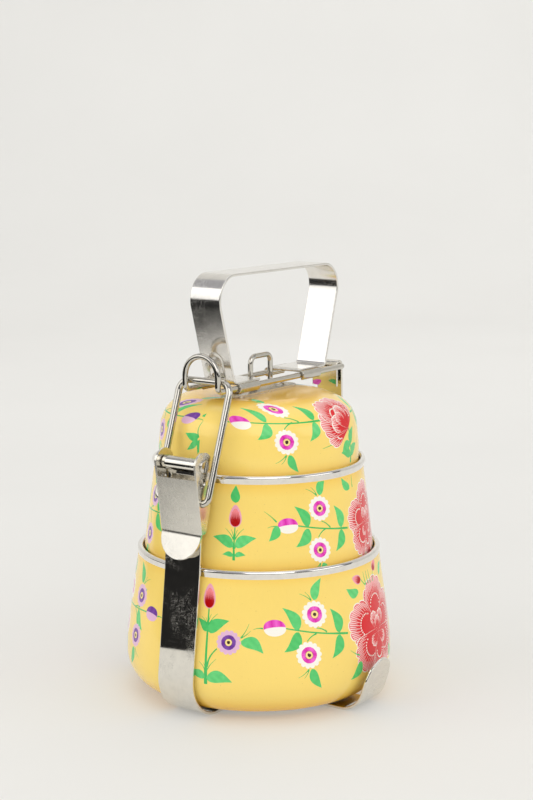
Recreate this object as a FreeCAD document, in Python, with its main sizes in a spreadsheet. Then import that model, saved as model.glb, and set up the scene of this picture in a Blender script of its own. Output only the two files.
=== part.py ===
"""Two-tier tiffin carrier: two nested bowls and a lid held in a strap carrier by a wire frame,
a rigid strap handle and an over-centre latch. Millimetres, +Z up, the origin on the bowl axis
at the resting plane, +X along the handle towards the frame's hinge, the latch on the -X side."""
import FreeCAD, Part
import math
import os

import Sketcher

DOC = FreeCAD.newDocument("TiffinCarrier")
SHEET = DOC.addObject("Spreadsheet::Sheet", "Sizes")

# name, value in mm or degrees, what it measures
SIZES = (
    ("strap_width", 22.0, "width of the carrier straps"),
    ("strap_thickness", 1.5, "carrier strap sheet"),
    ("strap_corner", 19.75, "centreline radius of the side strap's bottom bends"),
    ("strap_kink_radius", 60.0, "centreline radius of the slight bend beside the lower rim"),
    ("latch_foot_reach", 73.9, "virtual bottom corner of the side strap, latch side"),
    ("hinge_foot_reach", 72.0, "virtual bottom corner of the side strap, hinge side"),
    ("latch_kink_reach", 65.3, "centreline of the side strap beside the lower rim"),
    ("latch_kink_height", 74.0, "height of that bend"),
    ("tongue_bend", 68.6, "distance from the axis at which the cross strap turns up"),
    ("tongue_bend_radius", 13.65, "centreline radius of that bend"),
    ("tongue_lean", 17.8, "lean of the tongues from the vertical, degrees"),
    ("tongue_length", 28.3, "length of a tongue from its virtual corner"),
    ("tongue_shoulder", 18.0, "height at which a tongue starts to taper"),
    ("tongue_taper_width", 15.4, "width of a tongue at the end of its taper"),
    ("tongue_taper_drop", 4.0, "height of that place under the tongue's end"),
    ("tongue_tip_width", 11.0, "width of a tongue where its tip turns round"),
    ("tongue_tip_drop", 1.2, "height of that place under the tongue's end"),
    ("tongue_end_width", 6.2, "width of the cut past the tongue's end"),
    ("hump_reach", 14.0, "half length of the cross strap's raised middle"),
    ("hump_ramp", 6.0, "length of the ramp beside it"),
    ("hump_bend", 4.0, "centreline radius of the bends at the ramp"),
    ("base_rivet_radius", 2.0, "flush rivets through the crossing straps"),
    ("base_rivet_offset", 6.0, "their distance from the axis"),
    ("base_rivet_clearance", 0.02, "gap between those rivets and their holes"),
    ("bowl_radius", 70.0, "widest radius of the lower bowl"),
    ("bowl_corner", 18.5, "radius of its rounded bottom edge"),
    ("bowl_belly", 110.0, "radius of curvature of its side above the widest ring"),
    ("bowl_belly_slope", 8.2, "slope of the straight wall above, degrees"),
    ("bowl_neck_radius", 63.4, "wall radius under the lower rim"),
    ("bowl_neck_height", 75.6, "height at which the wall enters the rim bead"),
    ("wall", 1.0, "enamelled sheet of the bowls and the lid"),
    ("rim_bead", 1.6, "bead radius of the lower rim"),
    ("rim_radius", 62.4, "ring radius of the lower rim bead"),
    ("rim_height", 76.6, "height of that bead's centre"),
    ("ledge_height", 71.6, "top of the ledge that carries the upper bowl"),
    ("ledge_radius", 52.5, "inner radius of that ledge"),
    ("upper_flat", 54.0, "flat radius of the upper bowl's base"),
    ("upper_corner", 6.2, "radius of its bottom edge"),
    ("upper_neck_radius", 54.7, "wall radius under the upper rim"),
    ("upper_neck_height", 121.8, "height at which the wall enters the upper bead"),
    ("upper_bead", 1.5, "bead radius of the upper rim"),
    ("upper_rim_radius", 54.5, "ring radius of the upper rim bead"),
    ("upper_rim_height", 122.9, "height of that bead's centre"),
    ("lid_ledge_height", 119.4, "top of the ledge that carries the lid"),
    ("lid_ledge_radius", 50.0, "inner radius of that ledge"),
    ("lid_top", 158.3, "height of the lid's flat top"),
    ("lid_flat", 29.0, "radius of the flat top"),
    ("lid_crown", 28.5, "radius of curvature around the flat top"),
    ("lid_shoulder_radius", 42.5, "ring radius where crown meets shoulder"),
    ("lid_shoulder_height", 154.9, "height of that ring"),
    ("lid_shoulder", 17.0, "radius of curvature of the shoulder"),
    ("lid_side_radius", 51.4, "ring radius under the shoulder"),
    ("lid_side_height", 141.0, "height of that ring"),
    ("lid_skirt_radius", 52.4, "radius of the lid's skirt"),
    ("lid_skirt_height", 131.0, "top of the skirt"),
    ("bail_plate_length", 56.0, "metal plate on the lid"),
    ("bail_plate_width", 14.0, "metal plate on the lid"),
    ("bail_plate_thickness", 1.2, "metal plate on the lid"),
    ("bail_centre", 1.5, "middle of the bail along X"),
    ("bail_wire_radius", 1.4, "wire of the bail"),
    ("bail_half_width", 8.9, "half distance between the bail's leg centrelines"),
    ("bail_pivot_height", 161.0, "axis of the bail's lower bar"),
    ("bail_height", 15.9, "distance between the bail's bars"),
    ("bail_top_corner", 4.0, "centreline radius of the bail's top corners"),
    ("bail_bottom_corner", 2.2, "centreline radius of the bail's bottom corners"),
    ("tunnel_clearance", 0.08, "radial clearance of the bail in its tunnel"),
    ("tunnel_wall", 1.0, "sheet around the bail's lower bar"),
    ("tunnel_length", 12.8, "length of the tunnel"),
    ("bail_rivet_offset", 19.0, "distance of the lid rivets from the axis"),
    ("bail_rivet_radius", 1.5, "shank of the lid rivets"),
    ("bail_rivet_head", 3.0, "head radius of the lid rivets"),
    ("bail_rivet_rise", 1.3, "height of their heads"),
    ("bail_rivet_peen", 0.8, "thickness of their peened ends inside the lid"),
    ("pivot_reach", 64.2, "distance of the lever pin from the axis"),
    ("pivot_height", 130.0, "height of the lever pin"),
    ("pin_radius", 2.0, "lever pin shank"),
    ("pin_head_radius", 3.4, "peened heads of the lever pin"),
    ("pin_head_rise", 0.9, "thickness of those heads"),
    ("roll_bore", 2.08, "bore of the strap's roll around the lever pin"),
    ("roll_turn", 290.0, "turn of that roll, degrees"),
    ("lever_sheet", 1.2, "lever sheet"),
    ("lever_half_width", 12.8, "half width over the lever's ears"),
    ("lever_foot_reach", 65.9, "front face of the lever at its lower fold"),
    ("lever_foot_height", 96.0, "height of that fold"),
    ("lever_top_reach", 69.9, "front face at the plate's top edge"),
    ("lever_top_height", 123.5, "height of the plate's top edge"),
    ("ear_radius", 7.0, "round of the ears about the pin"),
    ("ear_neck", 2.6, "reach of the ears behind the plate at the lower fold"),
    ("ear_waist", 2.2, "distance of the ears' rear edge behind the pin, at its lower end"),
    ("ear_waist_rise", 1.8, "height of that lower end over the fold"),
    ("ear_back", 5.2, "distance of the ears' rear edge behind the pin, where it runs upright"),
    ("ear_back_rise", 12.9, "height over the fold at which it runs upright"),
    ("ear_offset", 1.0, "height of the ears' widest places under and over the pin"),
    ("tab_length", 14.0, "length of the finger tab"),
    ("tab_half_width", 12.2, "half width of the finger tab"),
    ("tab_lean", 19.0, "outward lean of the finger tab, degrees"),
    ("link_hole_reach", 65.2, "distance of the link holes from the axis"),
    ("link_hole_height", 111.6, "height of the link holes"),
    ("link_hole_radius", 2.0, "link holes"),
    ("spare_hole_height", 122.0, "height of the ears' second hole"),
    ("spare_hole_radius", 2.3, "the ears' second hole"),
    ("link_wire_radius", 1.7, "wire of the latch link"),
    ("link_half_width", 15.7, "half distance between the link's leg centrelines"),
    ("link_end_reach", 11.35, "half gap between the link's ends"),
    ("link_bar_reach", 45.3, "distance of the link's bar from the axis"),
    ("link_bar_height", 169.0, "height of the link's bar"),
    ("link_top_corner", 6.0, "centreline radius of the link's top corners"),
    ("link_bottom_corner", 3.0, "centreline radius of the link's bottom corners"),
    ("frame_wire_radius", 1.5, "wire of the top frame"),
    ("frame_height", 164.6, "height of the frame's rods"),
    ("frame_half_width", 10.2, "half distance between the rods"),
    ("arch_reach", 49.0, "distance of the arch from the axis"),
    ("arch_bend", 3.0, "centreline radius of the bend into the arch"),
    ("arch_leg", 4.1, "straight leg of the arch"),
    ("hinge_reach", 65.3, "distance of the hinge bar from the axis"),
    ("hinge_bend", 2.0, "centreline radius of the hinge bar's bends"),
    ("hinge_bore", 1.58, "bore of the strap's roll around the hinge bar"),
    ("hinge_roll_width", 16.0, "width of the strap at the hinge"),
    ("hinge_neck_height", 141.0, "height at which the strap narrows for the hinge"),
    ("flap_length", 11.3, "rolled end hanging inside the hinge"),
    ("handle_width", 18.6, "width of the handle strap"),
    ("handle_sheet", 1.3, "handle sheet"),
    ("handle_centre", 7.8, "middle of the handle along X"),
    ("handle_half_foot", 41.0, "half distance between the handle's lower corners"),
    ("handle_half_top", 57.3, "half distance between the handle's virtual upper corners"),
    ("handle_top", 221.6, "height of the handle's centreline at the top"),
    ("handle_corner", 12.4, "centreline radius of the upper corners"),
    ("handle_foot_bend", 2.6, "centreline radius of the lower corners"),
    ("foot_inset", 19.5, "half gap between the handle's feet"),
    ("wing_length", 17.0, "length of the curls around the rods"),
    ("wing_shift", 4.5, "distance by which both curls sit nearer to the latch than the feet"),
    ("wing_clearance", 0.05, "gap between the curls and the rods"),
    ("wing_turn", 245.0, "turn of a curl around its rod, degrees"),
)
for row, (alias, value, note) in enumerate(SIZES, start=1):
    SHEET.set(f"A{row}", alias)
    SHEET.set(f"B{row}", str(value))
    SHEET.set(f"C{row}", note)
    SHEET.setAlias(f"B{row}", alias)
DOC.recompute()


class Size:
    """A size as a number and as the expression that gives it in the document."""

    def __init__(self, value, text):
        self.value = value
        self.text = text

    @staticmethod
    def of(other):
        return other if isinstance(other, Size) else Size(float(other), repr(float(other)))

    def __add__(self, other):
        other = Size.of(other)
        return Size(self.value + other.value, f"({self.text} + {other.text})")

    def __radd__(self, other):
        return Size.of(other) + self

    def __sub__(self, other):
        other = Size.of(other)
        return Size(self.value - other.value, f"({self.text} - {other.text})")

    def __rsub__(self, other):
        return Size.of(other) - self

    def __mul__(self, other):
        other = Size.of(other)
        return Size(self.value * other.value, f"({self.text} * {other.text})")

    def __rmul__(self, other):
        return Size.of(other) * self

    def __truediv__(self, other):
        other = Size.of(other)
        return Size(self.value / other.value, f"({self.text} / {other.text})")

    def __neg__(self):
        return Size.of(0) - self


def size(alias):
    return Size(float(SHEET.get(alias)), f"Sizes.{alias}")


def mm(alias):
    """The plain value of a size, for the shapes made by Part's own functions."""
    return float(SHEET.get(alias))


def vec(x, y, z):
    return FreeCAD.Vector(x, y, z)


def sine(angle):
    return Size(math.sin(math.radians(angle.value)), f"sin({angle.text} * 1deg)")


def cosine(angle):
    return Size(math.cos(math.radians(angle.value)), f"cos({angle.text} * 1deg)")


def root(square):
    return Size(math.sqrt(square.value), f"sqrt({square.text})")


# ---------------------------------------------------------------- sketches and features


def new_body(label):
    body = DOC.addObject("PartDesign::Body", label)
    body.Label = label
    return body


def new_sketch(body, name, role):
    sketch = body.newObject("Sketcher::SketchObject", name)
    plane = [feature for feature in body.Origin.OriginFeatures if feature.Role == role][0]
    sketch.AttachmentSupport = (plane, [""])
    sketch.MapMode = "FlatFace"
    return sketch


def constrain(sketch, kind, *args):
    """Add a constraint whose last argument is a Size, and bind it to the sheet."""
    *where, measure = args
    measure = Size.of(measure)
    index = sketch.addConstraint(Sketcher.Constraint(kind, *where, measure.value))
    sketch.setExpression(f"Constraints[{index}]", measure.text)


def arc_between(start, end, radius):
    """The arc of less than half a turn from start to end; a negative radius turns clockwise."""
    middle = (start + end) / 2
    along = end - start
    rise = math.sqrt(max(radius**2 - (along.Length / 2) ** 2, 0.0))
    left = vec(-along.y, along.x, 0).normalize()
    centre = middle + left * math.copysign(rise, radius)
    first = math.atan2(start.y - centre.y, start.x - centre.x)
    last = math.atan2(end.y - centre.y, end.x - centre.x)
    if radius < 0:
        first, last = last, first
    return Part.ArcOfCircle(Part.Circle(centre, vec(0, 0, 1), abs(radius)), first, last)


def outline(sketch, corners):
    """A closed outline. Each corner is (u, v) or (u, v, radius), where the radius is that of the
    arc which leaves the corner, positive when it turns left."""
    points = [vec(Size.of(c[0]).value, Size.of(c[1]).value, 0) for c in corners]
    ends = []
    for index, corner in enumerate(corners):
        start = points[index]
        end = points[(index + 1) % len(points)]
        if len(corner) == 3:
            radius = Size.of(corner[2])
            edge = sketch.addGeometry(arc_between(start, end, radius.value))
            constrain(sketch, "Radius", edge, radius if radius.value > 0 else -radius)
            ends.append((edge, 1, 2) if radius.value > 0 else (edge, 2, 1))
        else:
            edge = sketch.addGeometry(Part.LineSegment(start, end))
            ends.append((edge, 1, 2))
    for index, corner in enumerate(corners):
        edge, first, last = ends[index]
        following, start, finish = ends[(index + 1) % len(ends)]
        sketch.addConstraint(Sketcher.Constraint("Coincident", edge, last, following, start))
        constrain(sketch, "DistanceX", -1, 1, edge, first, corner[0])
        constrain(sketch, "DistanceY", -1, 1, edge, first, corner[1])


def circle(sketch, u, v, radius):
    u = Size.of(u)
    v = Size.of(v)
    radius = Size.of(radius)
    edge = sketch.addGeometry(Part.Circle(vec(u.value, v.value, 0), vec(0, 0, 1), radius.value))
    constrain(sketch, "Radius", edge, radius)
    constrain(sketch, "DistanceX", -1, 1, edge, 3, u)
    constrain(sketch, "DistanceY", -1, 1, edge, 3, v)


def revolve(body, name, corners=None, ring=None):
    """Turn an outline, or a ring's round section, about the body's vertical axis."""
    sketch = new_sketch(body, f"{name}_section", "XZ_Plane")
    if corners:
        outline(sketch, corners)
    if ring:
        circle(sketch, *ring)
    feature = body.newObject("PartDesign::Revolution", name)
    feature.Profile = sketch
    feature.ReferenceAxis = (sketch, ["V_Axis"])
    feature.Angle = 360.0
    return feature


def extrude(body, name, role, length, corners=None, circles=(), kind="Pad"):
    """Pad or pocket an outline by the same length on both sides of an origin plane."""
    sketch = new_sketch(body, f"{name}_section", role)
    if corners:
        outline(sketch, corners)
    for ring in circles:
        circle(sketch, *ring)
    feature = body.newObject(f"PartDesign::{kind}", name)
    feature.Profile = sketch
    feature.SideType = "Symmetric"
    feature.setExpression("Length", Size.of(length).text)
    return feature


# ---------------------------------------------------------------- bent sheet and wire


def plain_feature(label, shape):
    feature = DOC.addObject("Part::Feature", label)
    feature.Label = label
    feature.Shape = shape
    feature.Placement = FreeCAD.Placement()
    return feature


def turned(vector, degrees):
    angle = math.radians(degrees)
    return vec(
        vector.x * math.cos(angle) - vector.y * math.sin(angle),
        vector.x * math.sin(angle) + vector.y * math.cos(angle),
        0,
    )


def arc_piece(centre, radius, start, sweep):
    """A piece of a flat path: an arc by its start angle and signed sweep in degrees."""
    return ("arc", centre, radius, start, sweep)


def filleted(points, radii):
    """Straight pieces through the points, with an arc of the given radius at each inner point."""
    pieces = []
    here = points[0]
    for before, corner, after, radius in zip(points, points[1:], points[2:], radii):
        back = (before - corner).normalize()
        ahead = (after - corner).normalize()
        half = math.acos(max(-1.0, min(1.0, back.dot(ahead)))) / 2
        reach = radius / math.tan(half)
        start = corner + back * reach
        centre = corner + (back + ahead).normalize() * (radius / math.sin(half))
        spoke = start - centre
        turn = 180.0 - 2 * math.degrees(half)
        left = back.x * ahead.y - back.y * ahead.x < 0
        angle = math.degrees(math.atan2(spoke.y, spoke.x))
        pieces.append(("line", here, start))
        pieces.append(arc_piece(centre, radius, angle, turn if left else -turn))
        here = centre + turned(spoke, turn if left else -turn)
    pieces.append(("line", here, points[-1]))
    return pieces


def side_edges(pieces, offset):
    """The edges of a flat path moved to its left by offset."""
    edges = []
    for piece in pieces:
        if piece[0] == "line":
            start, end = piece[1:]
            along = end - start
            aside = vec(-along.y, along.x, 0).normalize() * offset
            edges.append(Part.LineSegment(start + aside, end + aside).toShape())
        else:
            centre, radius, start, sweep = piece[1:]
            radius = radius - offset if sweep > 0 else radius + offset
            spoke = turned(vec(radius, 0, 0), start)
            points = [centre + turned(spoke, sweep * part) for part in (0, 0.5, 1)]
            edges.append(Part.Arc(*points).toShape())
    return edges


def end_points(edge):
    return edge.Vertexes[0].Point, edge.Vertexes[-1].Point


def prism(points, height):
    """The solid above a flat closed outline."""
    solid = Part.Face(Part.makePolygon(points + points[:1])).extrude(height)
    if solid.Volume < 0:
        solid.reverse()
    return solid


def bent_sheet(pieces, thickness, width, plane="XZ"):
    """A sheet bent along a flat path and centred on the plane that the path lies in."""
    left = side_edges(pieces, thickness / 2)
    right = side_edges(pieces, -thickness / 2)
    first = Part.LineSegment(path_end(left[0], pieces[0], 0), path_end(right[0], pieces[0], 0))
    last = Part.LineSegment(path_end(left[-1], pieces[-1], 1), path_end(right[-1], pieces[-1], 1))
    edges = left + right + [first.toShape(), last.toShape()]
    face = Part.Face(Part.Wire(Part.__sortEdges__(edges)))
    solid = face.extrude(vec(0, 0, width))
    if solid.Volume < 0:
        solid.reverse()
    solid.translate(vec(0, 0, -width / 2))
    solid.rotate(vec(0, 0, 0), vec(1, 0, 0), 90)
    if plane == "YZ":
        solid.rotate(vec(0, 0, 0), vec(0, 0, 1), 90)
    return solid


def path_end(edge, piece, which):
    """The end of an offset edge that lies at the start (0) or the end (1) of its piece."""
    if piece[0] == "line":
        target = piece[1 + which]
    else:
        centre, radius, start, sweep = piece[1:]
        target = centre + turned(vec(radius, 0, 0), start + sweep * which)
    return min(end_points(edge), key=lambda point: point.distanceToPoint(target))


def bent_wire(edges, radius):
    """A round wire along a chain of edges."""
    spine = Part.Wire(Part.__sortEdges__(edges))
    start = spine.OrderedEdges[0]
    tangent = start.tangentAt(start.FirstParameter)
    section = Part.Wire(Part.makeCircle(radius, start.valueAt(start.FirstParameter), tangent))
    return spine.makePipeShell([section], True, False)


def cylinder_along_y(x, z, radius, half_length):
    return Part.makeCylinder(radius, 2 * half_length, vec(x, -half_length, z), vec(0, 1, 0))


def tangent_to(point, centre, radius):
    """Where a straight line from the point touches the right-hand side of a circle, and the angle
    of that place on the circle."""
    toward = centre - point
    lead = math.degrees(math.asin(radius / toward.Length))
    reach = math.sqrt(toward.Length**2 - radius**2)
    touch = point + turned(toward, -lead).normalize() * reach
    spoke = touch - centre
    return touch, math.degrees(math.atan2(spoke.y, spoke.x))


# ---------------------------------------------------------------- the carrier


def make_side_strap():
    """One strip: hinge roll on +X, down the side, under the bowls, up to the latch roll on -X."""
    sheet = mm("strap_thickness")
    level = sheet / 2
    hinge_radius = mm("hinge_bore") + sheet / 2
    roll_radius = mm("roll_bore") + sheet / 2
    hinge = vec(mm("hinge_reach"), mm("frame_height"), 0)
    pivot = vec(-mm("pivot_reach"), mm("pivot_height"), 0)
    kink = vec(-mm("latch_kink_reach"), mm("latch_kink_height"), 0)
    hinge_foot = vec(mm("hinge_foot_reach"), level, 0)
    latch_foot = vec(-mm("latch_foot_reach"), level, 0)
    hinge_side, hinge_angle = tangent_to(hinge_foot, hinge, hinge_radius)
    latch_side, latch_angle = tangent_to(kink, pivot, roll_radius)
    inside = hinge - vec(hinge_radius, 0, 0)
    pieces = [("line", inside - vec(0, mm("flap_length"), 0), inside)]
    pieces.append(arc_piece(hinge, hinge_radius, 180, hinge_angle - 180))
    corner = mm("strap_corner")
    points = [hinge_side, hinge_foot, latch_foot, kink, latch_side]
    pieces += filleted(points, [corner, corner, mm("strap_kink_radius")])
    pieces.append(arc_piece(pivot, roll_radius, latch_angle, mm("roll_turn")))
    strap = bent_sheet(pieces, sheet, mm("strap_width"))
    neck = mm("hinge_neck_height")
    narrow = mm("hinge_roll_width") / 2
    wide = mm("strap_width") / 2 + sheet
    slope = wide - narrow
    top = hinge.y + 2 * hinge_radius
    for side in (1, -1):
        trim = [
            vec(0, side * wide, neck),
            vec(0, side * narrow, neck + slope),
            vec(0, side * narrow, top),
            vec(0, side * wide, top),
        ]
        strap = strap.cut(prism(trim, vec(hinge_foot.x, 0, 0)))
    strap = strap.cut(base_rivet_shape(mm("base_rivet_clearance")))
    return plain_feature("side_strap", strap)


def base_rivet_shape(clearance):
    radius = mm("base_rivet_radius") + clearance
    height = 2 * mm("strap_thickness")
    places = [vec(side * mm("base_rivet_offset"), 0, 0) for side in (1, -1)]
    pair = [Part.makeCylinder(radius, height, place) for place in places]
    return Part.makeCompound(pair)


def make_cross_strap():
    """The strip across the side strap: raised over it in the middle, turned up into a tapered
    tongue at each end that stops the lower bowl from sliding out."""
    sheet = mm("strap_thickness")
    level = sheet / 2
    lean = math.radians(90 - mm("tongue_lean"))
    bend = mm("tongue_bend")
    hump = mm("hump_reach")
    ramp = hump + mm("hump_ramp")
    length = mm("tongue_length")
    tip = vec(bend + length * math.cos(lean), level + length * math.sin(lean), 0)
    half = [vec(hump, level + sheet, 0), vec(ramp, level, 0), vec(bend, level, 0), tip]
    mirrored = [vec(-point.x, point.y, 0) for point in reversed(half)]
    turn = mm("tongue_bend_radius")
    radii = [turn] + 4 * [mm("hump_bend")] + [turn]
    width = mm("strap_width")
    strap = bent_sheet(filleted(mirrored + half, radii), sheet, width, "YZ")
    outer = width / 2 + sheet
    reach = tip.x + 2 * sheet
    crest = tip.y + 2 * sheet
    for edge in (1, -1):
        trim = [
            vec(edge * outer, -reach, mm("tongue_shoulder")),
            vec(edge * width / 2, -reach, mm("tongue_shoulder")),
            vec(edge * mm("tongue_taper_width") / 2, -reach, tip.y - mm("tongue_taper_drop")),
            vec(edge * mm("tongue_tip_width") / 2, -reach, tip.y - mm("tongue_tip_drop")),
            vec(edge * mm("tongue_end_width") / 2, -reach, crest),
            vec(edge * outer, -reach, crest),
        ]
        strap = strap.cut(prism(trim, vec(0, 2 * reach, 0)))
    strap = strap.cut(base_rivet_shape(mm("base_rivet_clearance")))
    return plain_feature("cross_strap", strap)


def make_base_rivets():
    """Two flush rivets that join the straps where they cross."""
    return plain_feature("base_rivets", base_rivet_shape(0.0))


def ledge(body, name, top, inner, outer):
    """A flat ring inside a bowl for the next tier to rest on."""
    wall = size("wall")
    corners = [(inner, top - wall), (outer, top - wall), (outer, top), (inner, top)]
    revolve(body, name, corners)


def make_lower_bowl():
    body = new_body("lower_bowl")
    wall = size("wall")
    base = 2 * size("strap_thickness")
    widest = size("bowl_radius")
    corner = size("bowl_corner")
    belly = size("bowl_belly")
    slope = size("bowl_belly_slope")
    neck = size("bowl_neck_radius")
    neck_height = size("bowl_neck_height")
    belly_radius = widest - belly * (1 - cosine(slope))
    belly_height = base + corner + belly * sine(slope)
    inner_belly = belly - wall
    inner_radius = widest - wall - inner_belly * (1 - cosine(slope))
    inner_height = base + corner + inner_belly * sine(slope)
    corners = [
        (0, base),
        (widest - corner, base, corner),
        (widest, base + corner, belly),
        (belly_radius, belly_height),
        (neck, neck_height),
        (neck - wall, neck_height),
        (inner_radius, inner_height, -inner_belly),
        (widest - wall, base + corner, wall - corner),
        (widest - corner, base + wall),
        (0, base + wall),
    ]
    revolve(body, "lower_wall", corners)
    revolve(body, "lower_rim", ring=(size("rim_radius"), size("rim_height"), size("rim_bead")))
    ledge(body, "lower_ledge", size("ledge_height"), size("ledge_radius"), neck - wall / 4)
    return body


def make_upper_bowl():
    body = new_body("upper_bowl")
    wall = size("wall")
    base = size("ledge_height")
    flat = size("upper_flat")
    corner = size("upper_corner")
    neck = size("upper_neck_radius")
    neck_height = size("upper_neck_height")
    corners = [
        (0, base),
        (flat, base, corner),
        (flat + corner, base + corner),
        (neck, neck_height),
        (neck - wall, neck_height),
        (flat + corner - wall, base + corner, wall - corner),
        (flat, base + wall),
        (0, base + wall),
    ]
    revolve(body, "upper_wall", corners)
    ring = (size("upper_rim_radius"), size("upper_rim_height"), size("upper_bead"))
    revolve(body, "upper_rim", ring=ring)
    outer = neck - wall / 4
    ledge(body, "upper_ledge", size("lid_ledge_height"), size("lid_ledge_radius"), outer)
    return body


def make_lid():
    body = new_body("lid")
    wall = size("wall")
    top = size("lid_top")
    flat = size("lid_flat")
    crown = size("lid_crown")
    shoulder = size("lid_shoulder")
    shoulder_radius = size("lid_shoulder_radius")
    shoulder_height = size("lid_shoulder_height")
    side_radius = size("lid_side_radius")
    side_height = size("lid_side_height")
    skirt = size("lid_skirt_radius")
    skirt_height = size("lid_skirt_height")
    foot = size("lid_ledge_height")
    corners = [
        (0, top - wall),
        (flat, top - wall, wall - crown),
        (shoulder_radius - wall * 0.48, shoulder_height - wall * 0.88, wall - shoulder),
        (side_radius - wall, side_height),
        (skirt - wall, skirt_height),
        (skirt - wall, foot),
        (skirt, foot),
        (skirt, skirt_height),
        (side_radius, side_height, shoulder),
        (shoulder_radius, shoulder_height, crown),
        (flat, top),
        (0, top),
    ]
    revolve(body, "lid_wall", corners)
    places = [(side * size("bail_rivet_offset"), 0, size("bail_rivet_radius")) for side in (1, -1)]
    pocket = extrude(body, "lid_rivet_holes", "XY_Plane", 4 * top, circles=places, kind="Pocket")
    body.Tip = pocket
    return body


# ---------------------------------------------------------------- the lid's bail


def make_bail_plate():
    """A strip across the lid's top with a raised tunnel that holds the bail's lower bar."""
    thickness = mm("bail_plate_thickness")
    width = mm("bail_plate_width")
    length = mm("bail_plate_length")
    top = mm("lid_top")
    strip = Part.makeBox(length, width, thickness, vec(-length / 2, -width / 2, top))
    corners = [edge for edge in strip.Edges if abs(edge.BoundBox.ZLength - thickness) < 0.01]
    strip = strip.makeFillet(width / 2 - 1.0, corners)
    pivot = mm("bail_pivot_height")
    bore = mm("bail_wire_radius") + mm("tunnel_clearance")
    outer = bore + mm("tunnel_wall")
    tunnel_length = mm("tunnel_length")
    start = mm("bail_centre") - tunnel_length / 2
    tunnel = Part.makeCylinder(outer, tunnel_length, vec(start, 0, pivot), vec(1, 0, 0))
    sides = Part.makeBox(tunnel_length, 2 * outer, pivot - top, vec(start, -outer, top))
    plate = strip.fuse([tunnel, sides])
    reach = mm("bail_half_width") + mm("bail_wire_radius") + 1.0
    centre = mm("bail_centre")
    plate = plate.cut(Part.makeCylinder(bore, 2 * reach, vec(centre - reach, 0, pivot), vec(1, 0, 0)))
    for side in (1, -1):
        hole = vec(side * mm("bail_rivet_offset"), 0, top)
        plate = plate.cut(Part.makeCylinder(mm("bail_rivet_radius"), thickness, hole))
    return plain_feature("bail_plate", plate.removeSplitter())


def make_bail_rivets():
    """Two round-head rivets through the plate and the lid, peened inside the lid."""
    top = mm("lid_top")
    under = top - mm("wall")
    over = top + mm("bail_plate_thickness")
    radius = mm("bail_rivet_radius")
    head = mm("bail_rivet_head")
    rise = mm("bail_rivet_rise")
    peen = mm("bail_rivet_peen")
    rivets = []
    for side in (1, -1):
        x = side * mm("bail_rivet_offset")
        shank = Part.makeCylinder(radius, over - under, vec(x, 0, under))
        sphere = (head**2 + rise**2) / (2 * rise)
        dome = Part.makeSphere(sphere, vec(x, 0, over + rise - sphere))
        cap = dome.common(Part.makeBox(20, 20, rise, vec(x - 10, -10, over)))
        foot = Part.makeCylinder(head * 0.8, peen, vec(x, 0, under - peen))
        rivets.append(shank.fuse([cap, foot]).removeSplitter())
    return plain_feature("bail_rivets", Part.makeCompound(rivets))


def rounded_loop(corners, radii, frame):
    """Closed chain of edges through the corners, each rounded; frame maps flat points to space."""
    count = len(corners)
    edges = []
    ends = []
    for index in range(count):
        before = corners[index - 1]
        corner = corners[index]
        after = corners[(index + 1) % count]
        back = (before - corner).normalize()
        ahead = (after - corner).normalize()
        half = math.acos(back.dot(ahead)) / 2
        reach = radii[index] / math.tan(half)
        centre = corner + (back + ahead).normalize() * (radii[index] / math.sin(half))
        middle = centre + (corner - centre).normalize() * radii[index]
        start = corner + back * reach
        end = corner + ahead * reach
        edges.append(Part.Arc(frame(start), frame(middle), frame(end)).toShape())
        ends.append((start, end))
    for index in range(count):
        start = ends[index][1]
        end = ends[(index + 1) % count][0]
        edges.append(Part.LineSegment(frame(start), frame(end)).toShape())
    return edges


def closed_wire(edges, radius):
    """A closed loop of round wire, swept in two halves so that each has two clear ends."""
    ordered = Part.Wire(Part.__sortEdges__(edges)).OrderedEdges
    middle = len(ordered) // 2
    halves = [bent_wire(ordered[:middle], radius), bent_wire(ordered[middle:], radius)]
    return halves[0].fuse(halves[1])


def make_bail_wire():
    """A small closed wire loop that stands up from the lid."""
    low = mm("bail_pivot_height")
    high = low + mm("bail_height")
    half = mm("bail_half_width")
    centre = mm("bail_centre")
    corners = [
        vec(centre - half, low, 0),
        vec(centre + half, low, 0),
        vec(centre + half, high, 0),
        vec(centre - half, high, 0),
    ]
    bottom = mm("bail_bottom_corner")
    top = mm("bail_top_corner")

    def upright(point):
        return vec(point.x, 0, point.y)

    edges = rounded_loop(corners, [bottom, bottom, top, top], upright)
    return plain_feature("bail_wire", closed_wire(edges, mm("bail_wire_radius")))


# ---------------------------------------------------------------- the latch


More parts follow.
